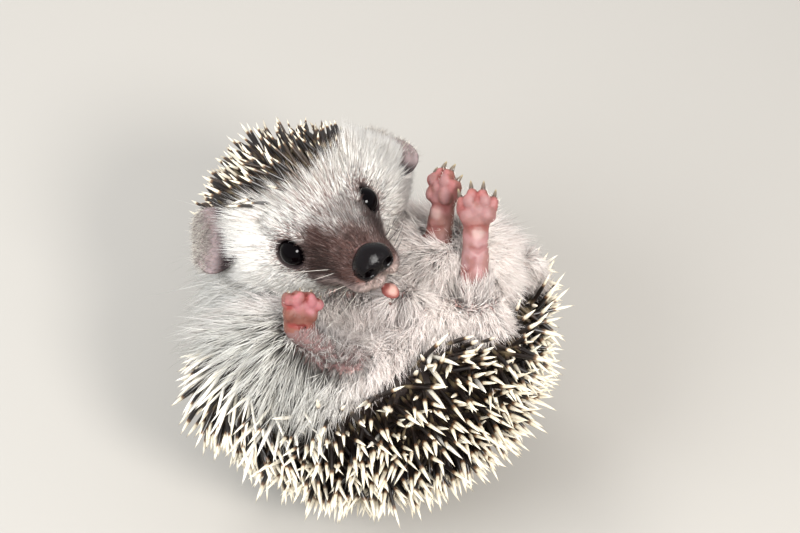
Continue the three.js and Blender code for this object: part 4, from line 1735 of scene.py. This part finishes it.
@dataclass
class Quills:
    """The spines of the crown, nape, back and flanks."""

    coat: Coat
    tries: int = 30000
    gap: float = 1.44
    crown_gap: float = 1.36
    length: tuple = (14.0, 1.3)
    crown_length: tuple = (10.2, 1.1)
    nape_cut: float = 4.0
    bounds: tuple = (8.5, 17.0)
    width: tuple = (0.9, 0.08)
    sink: float = 0.8
    overhang: float = 7.0
    pale_overhang: float = 12.0
    neighbours: tuple = (3.2, 7)

    def bed(self, rng: Chance) -> QuillBed:
        """Roots the quills, no two too near each other, and finds the regions that they lie in."""
        coat = self.coat
        by_ear = coat.marks.ear_gap(coat.head)
        bare = np.maximum(ease(6.5, 9.5, by_ear), ease(-12, -15, coat.head[:, 0]) * ease(3.0, 5.0, by_ear))
        roots = coat.skin.scatter(coat.spiny * bare * (0.1 + coat.open), self.tries, rng)
        gap = mix(self.gap, self.crown_gap, (roots.part == Part.HEAD) * 1.0)
        r = roots.pick(spaced(roots.p, gap, rng))
        turn, over, crown = azimuth(r.p), coat.quilling.over_edge(r.p), (r.part == Part.HEAD) * 1.0
        return QuillBed(
            roots=r,
            crown=crown,
            nape=(r.part == Part.NECK) * 1.0,
            front=crown * ease(4.0, 0.0, np.abs(r.h[:, 0] - coat.quilling.hairline(r.h[:, 1]))),
            near_flank=ease(-140, -112, turn) * ease(40, 0, turn) * ease(8, 22, r.p[:, 2]) * (1 - crown),
            outer_flank=ease(-30, 0, turn) * ease(125, 100, turn) * (1 - crown),
            rim=ease(-9, -2, over) * np.isin(r.part, (Part.TRUNK, Part.LEG)),
            shoulder=ease(-112, -132, azimuth(r.p, 90)) * ease(-24, -10, over) * (r.part == Part.TRUNK),
        )

    def ways(self, b: QuillBed, rng: Chance) -> Array:
        """Which way each quill points: off the skin and back, and every way on the near flank."""
        r, lie = b.roots, self.coat.lie
        n = len(r.p)
        back = lie.along(self.coat.place.way_from_head(unit(r.h - (10.0, 2, -6))), r.up)
        flow = unit(lie.to_tail(r.p, r.up) * (1 - 0.7 * b.shoulder[:, None]) + lie.from_belly(r.p, r.up))
        flow = unit(mix(flow, back, np.maximum(b.crown, 0.7 * b.nape)[:, None]))
        uneven = rng.normal(0, 1, n) * mix(10.0, 17.0, b.near_flank)
        lift = mix(mix(np.full(n, 38.0), 56.0, b.near_flank), 50.0, b.crown) + uneven
        lift = mix(lift, 20.0, b.shoulder * (1 - b.near_flank)) - 14 * b.crown * ease(1, 10, r.h[:, 1])
        lift = mix(mix(lift, 28.0, 0.85 * b.outer_flank), 50.0, ease(18, 9, r.p[:, 2]))
        stray = mix(mix(np.full(n, 17.0), 85.0, b.near_flank * (1 - 0.5 * b.rim)), 26.0, b.crown)
        way = self.coat.raised(flow, r.up, lift, stray, rng)
        return unit(way + b.near_flank[:, None] * np.array([0, -0.1, 0.35]))

    def spikes(self, b: QuillBed, rng: Chance) -> Spikes:
        """The quills, with their sizes and colours."""
        r = b.roots
        n = len(r.p)
        way = self.ways(b, rng)
        length = mix(rng.normal(*self.length, n), rng.normal(*self.crown_length, n), b.crown)
        length = np.clip(length - self.nape_cut * b.nape, *self.bounds) * (1 - 0.07 * (1 - b.crown))
        length = length * (1 - 0.2 * b.front) * (1 - 0.12 * b.rim) * (1 - 0.1 * b.shoulder)
        length = length * (1 - 0.3 * b.crown * ease(1, 10, r.h[:, 1]))
        width = rng.normal(*self.width, n) * (1 - 0.2 * b.crown - 0.25 * b.front)
        width = width * (1 - 0.1 * b.rim - 0.32 * b.shoulder)
        pale = (rng.random(n) < 0.02 + 0.75 * b.shoulder + 0.55 * b.rim + 0.2 * b.front) * 0.97
        tint = dye(Tint.QUILL.rgb[None], Tint.WHITE.rgb, rng.random(n) * 0.7)
        dull = np.maximum(b.crown * (0.25 + 0.9 * ease(-6, 5, r.h[:, 1])), b.nape)
        brown = np.clip((b.crown + 1.4 * b.nape) * (rng.random(n) < 0.3 + 0.35 * b.front), 0, 1)
        tint = dye(tint, Tint.TAN.rgb * 0.45, brown) * (1 - 0.18 * b.crown)[:, None]
        pale = np.maximum(pale, 0.4 * brown * (pale < 0.5))
        bend = rng.normal(0, 0.45, (n, 3))
        return Spikes(r.p, way, length, width, bend, r.uv, tint, pale, rng.random(n) - dull, sink=self.sink)

    def trimmed(self, s: Spikes) -> Spikes:
        """The quills without those that enter flesh, hang over the fur or the face, or stand alone."""
        coat = self.coat
        s = coat.clear(s)
        over = coat.quilling.over_edge(s.p)
        part = coat.skin.clay.part_at(s.p)
        ahead = coat.place.to_head(s.p)[:, 0]
        pale = s.pale > 0.6
        tips = s.p + s.way * (0.7 * s.length)[:, None]
        free = pale | (part == Part.NECK) | (s.p[:, 1] > 10)
        strays = coat.quilling.over_edge(tips) > np.where(free, self.pale_overhang, self.overhang)
        grows = coat.quilling.share(tips, np.full(len(tips), int(Part.HEAD)))
        strays |= (part == Part.HEAD) & (grows < 0.5) & (ahead > -12)
        behind = (s.p[:, 1] > 10) & (ahead < -12)
        within = (over < -2.5 - 4 * (part == Part.LEG)) | pale
        s = s.pick(~strays & within | (over > 6) | behind)
        reach, fewest = self.neighbours
        tree = tree_of(s.p)
        return s.pick(np.array([len(tree.find_range(at, reach)) for at in s.p]) > fewest)

    def build(self) -> list[Object]:
        """Grows the quills as two pieces."""
        rng = np.random.default_rng(11)
        s = self.spikes(self.bed(rng), rng)
        s.keep_above_floor()
        shape = CoatPiece("quills", "spines", self.coat.quill, 6, 8, fullness=4.0, neck=0.45, seed=5)
        return self.coat.pieces(2, shape, self.trimmed(s))


@dataclass
class FaceFur:
    """The fur of the cheeks, forehead and throat, longest at the back."""

    coat: Coat
    count: int = 35000
    long: float = 6.6
    short: float = 2.3
    width: tuple = (0.17, 0.15)

    def ear_base(self, h: Array) -> Array:
        """How far each point of the head lies beside the base of an ear, from 0 to 1."""
        return ease(10.0, 7.0, self.coat.marks.ear_gap(h)) * ease(-13, -10, h[:, 0])

    def lengths(self, r: Roots, edge: Array, by_ear: Array, rng: Chance) -> Array:
        """How long each hair is.

        Args:
            r: the roots.
            edge: how far each lies at the hairline.
            by_ear: how far each lies beside an ear.
            rng: the source of chance.

        Returns:
            One length for each.
        """
        x, y, z = r.h.T
        length = mix(self.long - 1.0 * (y > 8), self.short, ease(-8, 5.5, x))
        length = length * mix(0.32, 1.0, ease(4.2, 8.8, self.coat.place.eye_gap(r.p))) + 2.6 * edge + by_ear
        length = length * (1 - 0.2 * ease(4, 10, y) * ease(-1, -6, x)) * mix(1.0, 0.8, ease(-6, -12, z))
        return length * rng.uniform(0.7, 1.2, len(r.p))

    def build(self) -> list[Object]:
        """Grows the fur as two pieces."""
        coat = self.coat
        rng = np.random.default_rng(21)
        here = (coat.skin.part == Part.HEAD) * (1 - coat.spiny) * ease(8.0, 3.5, coat.head[:, 0])
        here = here * (coat.open + 1.3 * self.ear_base(coat.head)) * ease(3.9, 4.8, coat.lids)
        r = coat.skin.scatter(here, self.count, rng)
        n = len(r.p)
        x, y, z = r.h.T
        by_ear = self.ear_base(r.h)
        top = ease(-2, 4, z)
        edge = top * ease(5.5, 0.5, x - coat.quilling.hairline(y)) * ease(17, 13, np.abs(y))
        length = self.lengths(r, edge, by_ear, rng)
        flow = coat.lie.from_nose(r.p, r.up)
        lift = mix(mix(36.0, 15.0, ease(-5, 6, x)), 26.0, top * ease(6, -4, x)) + 10 * edge
        way = coat.raised(flow, r.up, lift + rng.normal(0, 6, n), 9.0, rng)
        over_ear = np.stack([np.full(n, -0.12), 0.86 * np.sign(y), np.full(n, 0.6)], 1)
        over_ear = coat.place.way_from_head(over_ear + rng.normal(0, 0.13, (n, 3)))
        way = unit(mix(way, over_ear, (0.8 * by_ear * np.where(y > 0, 0.35, 1.0))[:, None]))
        width = mix(*self.width, ease(-4, 6, x)) * rng.uniform(0.75, 1.25, n)
        bend = (flow * 0.1 - r.up * 0.1 + rng.normal(0, 0.06, (n, 3))) * length[:, None]
        tint = coat.marks.hair(r.p, r.part, rng)
        tint = dye(tint, Tint.TAN.rgb, 0.6 * edge * (rng.random(n) < 0.3))
        s = r.hairs(way, length, width, bend, tint, rng)
        s.clump(1.0, 0.55, 0.18, rng)
        shape = CoatPiece("face_fur", "fur", coat.hair, segments=2, seed=31)
        return coat.pieces(2, shape, coat.clear(s, -0.35))


@dataclass
class MuzzleFur:
    """The short close fur of the muzzle and the mask."""

    coat: Coat
    count: int = 22000
    length: tuple = (2.9, 1.0)
    width: tuple = (0.11, 0.2)

    def build(self) -> list[Object]:
        """Grows the fur."""
        coat = self.coat
        rng = np.random.default_rng(25)
        x, z = coat.head[:, 0], coat.head[:, 2]
        here = np.isin(coat.skin.part, (Part.HEAD, Part.NOSE)) * ease(2.5, 6.5, x)
        lip = (z < -4.3) & (x < 23.5)
        here = here * ((x < np.where(coat.skin.part == Part.NOSE, 18.4, 20.6)) | lip)
        r = coat.skin.scatter(here * ease(3.9, 4.6, coat.lids) * coat.open, self.count, rng)
        n = len(r.p)
        near_lids = mix(0.4, 1.0, ease(4.2, 7.0, coat.place.eye_gap(r.p)))
        length = mix(*self.length, ease(3.5, 17.5, r.h[:, 0])) * near_lids * rng.uniform(0.7, 1.25, n)
        flow = coat.lie.from_nose(r.p, r.up)
        way = coat.raised(flow, r.up, rng.normal(20, 6, n), 12.0, rng)
        tint = coat.marks.hair(r.p, r.part, rng)
        s = r.hairs(way, length, rng.uniform(*self.width, n), np.zeros((n, 3)), tint, rng)
        s.clump(0.6, 0.5, 0.55, rng)
        return [CoatPiece("muzzle_fur", "fur", coat.hair, segments=1, seed=35).grow(coat.place, s)]


@dataclass
class BodyFur:
    """The long soft fur of the belly, chest, shoulder and legs, with a short undercoat."""

    coat: Coat
    count: int = 46000
    under_count: int = 16000
    length: tuple = (7.6, 9.8)
    arm_length: tuple = (2.0, 4.6)
    width: tuple = (0.17, 0.18)
    chest: tuple = (-1.0, -9.0, 57.0)
    under_length: float = 0.36
    under_width: float = 1.3

    def density(self) -> Array:
        """How closely the fur grows at each point of the skin."""
        coat, skin = self.coat, self.coat.skin
        soft = np.isin(skin.part, (Part.TRUNK, Part.TAIL, Part.NECK)) * (1 - coat.spiny)
        soft = soft * (1 - 0.72 * coat.quilling.fringe(skin.points))
        arm = (skin.part == Part.LEG) * (skin.points[:, 0] < 0)
        thigh = (skin.part == Part.LEG) * 1.0 - arm
        above = ease(-4, 2, coat.quilling.over_edge(skin.points))
        paws = nearest([foot.gap(skin.points) for foot in FEET.values() if not foot.plan.hind])
        elbow = ease(-13.5, -7.0, skin.points[:, 0])
        dense = soft + arm * above * mix(0.3, 0.55, elbow) + thigh * (1 - coat.spiny)
        return dense * (coat.open + 0.08) * ease(0.3, 1.5, paws)

    def hairs(self, r: Roots, under: bool, rng: Chance) -> Spikes:
        """The hairs of the belly's fur or of its undercoat.

        Args:
            r: the roots.
            under: whether the hairs are the undercoat's.
            rng: the source of chance.

        Returns:
            The hairs, drawn into locks where they are long.
        """
        lie, quilling = self.coat.lie, self.coat.quilling
        n = len(r.p)
        x, y = r.p[:, 0], r.p[:, 1]
        ruff = np.maximum(ease(2, -14, x) * ease(2, -9, y), r.part == Part.NECK)
        fringe = quilling.fringe(r.p) * np.isin(r.part, (Part.TRUNK, Part.NECK))
        arm = (r.part == Part.LEG) & (x < 0)
        heels = [np.linalg.norm(r.p - foot.heel, axis=1) for foot in FEET.values() if foot.plan.hind]
        ankle = ease(8.5, 4.5, nearest(heels))
        limb = np.maximum(arm * 0.6, 0.9 * ankle)[:, None]
        flow = unit(mix(lie.from_belly(r.p, r.up), lie.down_limbs(r.p, r.up), limb))
        guard = rng.random(n) < 0.06
        lift = mix(31.0, 30.0, ruff) - 12 * ankle + rng.normal(0, 8, n) + 9 * guard
        way = self.coat.raised(flow, r.up, lift, mix(19.0, 12.0, ruff), rng)
        length = mix(*self.length, ruff) * rng.uniform(0.65, 1.15, n) * (1 + 0.35 * guard)
        cut = mix(0.3, 0.5, ease(-75, -50, azimuth(r.p))) * (1 - fringe)
        cut = cut * ease(12, 1, quilling.over_edge(r.p))
        length = (length * (1 - cut) + 2.2 * fringe) * (1 - 0.3 * ankle)
        arm_length = mix(*self.arm_length, ease(-13.5, -6.0, x)) * rng.uniform(0.7, 1.2, n)
        length = np.where(arm, arm_length, length)
        width = (mix(*self.width, ruff) + 0.07 * fringe) * rng.uniform(0.75, 1.25, n) * (1 - 0.45 * arm)
        wave = (mix(0.16, 0.24, ruff) * (1 - 0.6 * fringe))[:, None]
        bend = (rng.normal(0, 1, (n, 3)) * wave - r.up * 0.1) * (length * np.where(arm, 0.5, 1.0))[:, None]
        tint = self.tints(r, ruff, fringe, rng)
        if under:
            length, width, bend = length * self.under_length, width * self.under_width, bend * 0
            tint = mix(tint, Tint.BELLY_GREY.rgb, 0.25)
        s = r.hairs(way, length, width, bend, tint, rng)
        over_fist = [FEET["forefoot_right"].gap(r.p + way * (length * t)[:, None]) for t in (0.5, 1.0)]
        s = s.pick(nearest(over_fist) > 0.8)
        if not under:
            s.clump(1.9, mix(0.64, 0.92, quilling.fringe(s.p)), 0.26, rng)
        s.keep_above_floor()
        return s

    def tints(self, r: Roots, ruff: Array, fringe: Array, rng: Chance) -> Array:
        """The colour of each hair.

        Args:
            r: the roots.
            ruff: how far each lies in the ruff.
            fringe: how far each lies in the locks at the shoulder's edge.
            rng: the source of chance.

        Returns:
            One linear colour for each.
        """
        n = len(r.p)
        tint = self.coat.marks.hair(r.p, r.part, rng) * mix(1.0, 0.68, ruff)[:, None]
        tint = dye(tint, Tint.LOCK.rgb, fringe * rng.random(n))
        tint = dye(tint, Tint.HIDE_MAUVE.rgb, 0.4 * ((r.part == Part.LEG) & (r.p[:, 0] < 0)))
        chest = ease(15, 6, np.linalg.norm(r.p - self.chest, axis=1))
        return dye(tint, Tint.HIDE_MAUVE.rgb, 0.3 * chest * rng.random(n))

    def build(self) -> list[Object]:
        """Grows the fur as three pieces and the undercoat as one."""
        coat = self.coat
        rng = np.random.default_rng(41)
        dense = self.density()
        s = self.hairs(coat.skin.scatter(dense, self.count, rng), False, rng)
        made = coat.pieces(3, CoatPiece("body_fur", "fur", coat.long_hair, segments=2, seed=51), s)
        dense = dense * (1 - coat.quilling.fringe(coat.skin.points))
        s = self.hairs(coat.skin.scatter(dense, self.under_count, rng), True, rng)
        return made + coat.pieces(1, CoatPiece("undercoat", "fur", coat.long_hair, segments=1, seed=51), s)


@dataclass
class Down:
    """The fine down of the ears and the backs of the feet."""

    coat: Coat
    count: int = 6500
    ear_length: tuple = (0.6, 1.5)
    foot_length: tuple = (0.4, 1.0)
    width: float = 0.11

    def density(self) -> Array:
        """How closely the down grows at each point of the skin."""
        skin, head = self.coat.skin, self.coat.head
        high = 0.25 + ease(-4.5, 2.0, head[:, 2] - 3.6)
        ears = (skin.part == Part.EAR) * (0.06 + 1.5 * ease(0.4, 0.9, self.coat.marks.ear_rise(head))) * high
        back = np.zeros(len(skin.part))
        for foot in FEET.values():
            middle = foot.place((foot.plan.length / 2, 0, 0))
            near = np.linalg.norm(skin.points - middle, axis=1) < foot.plan.length
            back = np.maximum(back, near * ease(0.1, -0.5, skin.up @ foot.axes[2]))
        return ears + 0.12 * back * (skin.part == Part.FOOT)

    def build(self) -> list[Object]:
        """Grows the down."""
        coat = self.coat
        rng = np.random.default_rng(61)
        r = coat.skin.scatter(self.density(), self.count, rng)
        n = len(r.p)
        away = np.stack([np.full(n, -0.4), np.sign(r.h[:, 1]), np.full(n, 0.1)], 1)
        ear = (r.part == Part.EAR)[:, None]
        over_ear = coat.lie.along(coat.place.way_from_head(away), r.up)
        flow = np.where(ear, over_ear, coat.lie.down_limbs(r.p, r.up))
        way = coat.raised(flow, r.up, rng.normal(38, 12, n), 30.0, rng)
        length = np.where(ear[:, 0], rng.uniform(*self.ear_length, n), rng.uniform(*self.foot_length, n))
        pale = rng.uniform(0.0, 1.0, n) * ease(0.2, 0.9, coat.marks.ear_rise(r.h))
        tint = np.where(ear, dye(Tint.EAR.rgb[None] * 0.5, Tint.IVORY.rgb, pale), Tint.IVORY.rgb)
        bend = rng.normal(0, 0.45, (n, 3)) * length[:, None]
        s = r.hairs(way, length, np.full(n, self.width), bend, tint, rng)
        return [CoatPiece("down", "fur", coat.hair, segments=2, seed=71).grow(coat.place, s)]


@dataclass
class Whiskers:
    """The long stiff hairs at the sides of the muzzle and over the eyes."""

    coat: Coat
    count: int = 54
    length: tuple = (6, 13)
    width: float = 0.12
    pad: tuple = (13.5, 5.4, -5.2)
    pad_reach: tuple = (4.0, 2.5, 2.2)
    brow: tuple = (1.0, 9.0, 5.0)

    def build(self) -> list[Object]:
        """Grows the whiskers."""
        coat = self.coat
        rng = np.random.default_rng(81)
        spot = np.zeros(len(coat.head))
        for side in (1, -1):
            pad = (coat.head - np.array(self.pad) * (1, side, 1)) / np.array(self.pad_reach)
            brow = (coat.head - np.array(self.brow) * (1, side, 1)) / 1.5
            spot += np.exp(-(pad**2).sum(1)) + 0.12 * np.exp(-(brow**2).sum(1))
        r = coat.skin.scatter(spot * (coat.skin.part == Part.HEAD), self.count, rng)
        n = len(r.p)
        flow = coat.lie.from_nose(r.p, r.up)
        way = coat.raised(flow, r.up, rng.normal(38, 7, n), 9.0, rng)
        length = rng.uniform(*self.length, n)
        tint = np.where(rng.random(n)[:, None] < 0.75, Tint.LID.rgb, Tint.IVORY.rgb)
        bend = (flow * 0.25 - (0, 0, 0.15)) * length[:, None]
        s = r.hairs(way, length, np.full(n, self.width), bend, tint, rng)
        return [CoatPiece("whiskers", "fur", coat.hair, segments=6, seed=91).grow(coat.place, s)]


# ---- Eyes and claws ----
@dataclass
class Eyes:
    """The two eyes: balls with a slight bulge of the cornea."""

    place: Bearings
    radius: float = 3.3
    bulge: float = 0.035
    rings: int = 28
    sides: int = 40

    def ball(self, side: int) -> Mesh:
        """One eye's mesh, its pole at the middle of the cornea."""
        axes = Flesh(self.place).eye_axes(side)
        turn = np.linspace(0, math.pi, self.rings + 1)[1:-1]
        r = self.radius * (1 + self.bulge * np.exp(-((turn / math.radians(38)) ** 2)))
        a = np.linspace(0, 2 * math.pi, self.sides, endpoint=False)
        ring = np.stack([np.ones(self.sides), np.cos(a), np.sin(a)], 1)
        body = [q * ring * (math.cos(t), math.sin(t), math.sin(t)) for q, t in zip(r, turn)]
        local = np.vstack([[self.radius * (1 + self.bulge), 0, 0], *body, [-self.radius, 0, 0]])
        points = self.place.eyes[side] + local @ axes
        return mesh_of("eye", self.place.metres(points), tube_faces(len(body), self.sides))

    def build(self) -> list[Object]:
        """Both eyes."""
        finish = WetEye().material()
        made = []
        for side, name in ((1, "left"), (-1, "right")):
            piece = show("eye_ball_" + name, self.ball(side))
            piece.data.materials.append(finish)
            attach(piece, "root")
            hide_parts("eye_" + name)
            made.append(piece)
        return made


@dataclass
class Claws:
    """The claws of all four feet: curved cones of horn, one piece."""

    place: Bearings
    sides: int = 8
    steps: int = 7
    root: float = 0.8
    tip: float = 0.1

    def build(self) -> Object:
        """Makes the claws and dresses them."""
        toes = [(foot, *foot.toe_points(i)[2:]) for foot in FEET.values() for i in range(foot.plan.toes)]
        points = np.array([self.claw(*toe) for toe in toes])
        count = points.shape[1]
        faces = [tube_faces(self.steps, self.sides) + count * k for k in range(len(toes))]
        mesh = mesh_of("claws", self.place.metres(points.reshape(-1, 3)), np.vstack(faces))
        along = np.array([0, *np.repeat(np.linspace(0, 1, self.steps), self.sides), 1])
        store(mesh, "along", "FLOAT", np.tile(along, len(toes)))
        mesh.materials.append(ClawKeratin().material())
        piece = show("claws", mesh)
        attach(piece, "root")
        return piece

    def claw(self, foot: Foot, tip: Array, way: Array) -> Array:
        """One claw's points.

        Args:
            foot: the foot that it grows from.
            tip: its toe's tip, in the foot's frame.
            way: the way it points.

        Returns:
            Its root, its rings and its tip, in the animal's frame.
        """
        plan = foot.plan
        start = tip + way * plan.toe * 0.35 + (0, 0, -0.15)
        length = plan.claw + plan.toe * 0.5
        u = unit(np.cross(way, [0, 0, 1.0]))
        v = np.cross(u, way)
        a = np.linspace(0, 2 * math.pi, self.sides, endpoint=False)[:, None]
        rings = []
        for t in np.linspace(0, 1, self.steps):
            r = self.root * plan.claw_girth * (1 - t) ** 0.7 + self.tip * t
            middle = start + way * length * t + v * (0.16 * length * (t - t * t * 1.7))
            rings.append(middle + r * (np.cos(a) * u * 0.8 + np.sin(a) * v))
        local = np.vstack([start - way * 0.1, *rings, rings[-1].mean(0) + way * 0.12])
        return np.array([foot.place(p) for p in local])


# ---- Studio ----
class Shine(Enum):
    """What a lamp does: whether it lights surfaces, and whether it shows in glossy ones."""

    BOTH = (True, True)
    SOFT = (True, False)
    GLEAM = (False, True)


@dataclass(frozen=True)
class Lamp:
    """A round lamp that faces the animal: its place from the target, width, power, colour and use."""

    name: str
    at: tuple
    size: float
    power: float
    color: tuple
    shine: Shine

    def hang(self, target: Array, place: Bearings) -> None:
        """Adds the lamp to the scene."""
        light = bpy.data.lights.new(self.name, "AREA")
        light.shape = "DISK"
        light.size = self.size * MM
        light.energy = self.power
        light.color = self.color
        lamp = show(self.name, light)
        lamp.visible_diffuse, lamp.visible_glossy = self.shine.value
        lamp.location = place.metres(target + self.at)
        away = unit(np.array(self.at, float))
        lamp.rotation_euler = (math.acos(away[2]), 0, math.atan2(away[1], away[0]) + math.pi / 2)


@dataclass
class Studio:
    """A plain pale floor, soft light and the camera. Millimetres in the animal's frame."""

    place: Bearings
    target: tuple = (6.7, 15.3, 45.7)
    distance: float = 450.0
    elevation: float = 55.0
    lens: float = 85.0
    sky_color: tuple = (0.95, 0.97, 1.0, 1)
    sky_strength: float = 0.98
    lamps: tuple = (
        Lamp("key", (200, -280, 365), 140, 2.55, (1.0, 0.975, 0.94), Shine.BOTH),
        Lamp("catch", (200, -285, 368), 180, 3.0, (1.0, 0.99, 0.97), Shine.GLEAM),
        Lamp("fill", (-320, -170, 330), 290, 2.2, (0.93, 0.97, 1.0), Shine.SOFT),
        Lamp("back", (-160, 360, 330), 240, 1.2, (1.0, 0.98, 0.96), Shine.SOFT),
    )

    def build(self) -> None:
        """Sets the studio up."""
        self.floor()
        self.sky()
        for lamp in self.lamps:
            lamp.hang(np.array(self.target), self.place)
        self.camera()
        bpy.context.scene.view_settings.view_transform = "Standard"

    def floor(self) -> None:
        """The floor that the animal lies on."""
        reach = 3.0
        corners = np.array([[-reach, -reach, 0], [reach, -reach, 0], [reach, reach, 0], [-reach, reach, 0]])
        mesh = mesh_of("floor", corners, np.array([[0, 1, 2, 3]]))
        mesh.materials.append(PaperSweep().material())
        show("floor", mesh)

    def sky(self) -> None:
        """Even light from all round."""
        world = bpy.data.worlds.new("soft_light")
        world.use_nodes = True
        shade = next(n for n in world.node_tree.nodes if n.type == "BACKGROUND")
        shade.inputs[0].default_value = self.sky_color
        shade.inputs[1].default_value = self.sky_strength
        bpy.context.scene.world = world

    def camera(self) -> None:
        """The camera, level from side to side."""
        lens = bpy.data.cameras.new("camera")
        lens.lens = self.lens
        lens.sensor_width = 36
        lens.clip_start = 0.01
        eye = show("camera", lens)
        rise = math.radians(self.elevation)
        away = np.array([0, -math.cos(rise), math.sin(rise)]) * self.distance
        eye.location = self.place.metres(away + self.target)
        eye.rotation_euler = (math.radians(90) - rise, 0, 0)
        bpy.context.scene.camera = eye


def main() -> None:
    """Builds the animal and its studio."""
    logging.basicConfig(level=logging.INFO, format="%(message)s")
    place = Bearings()
    skin = Skin(place)
    coat = Coat(skin)
    skin.dress()
    for piece in (*Eyes(place).build(), Claws(place).build(), *coat.grow()):
        log.info("made %s", piece.name)
    Studio(place).build()


if __name__ == "__main__":
    main()
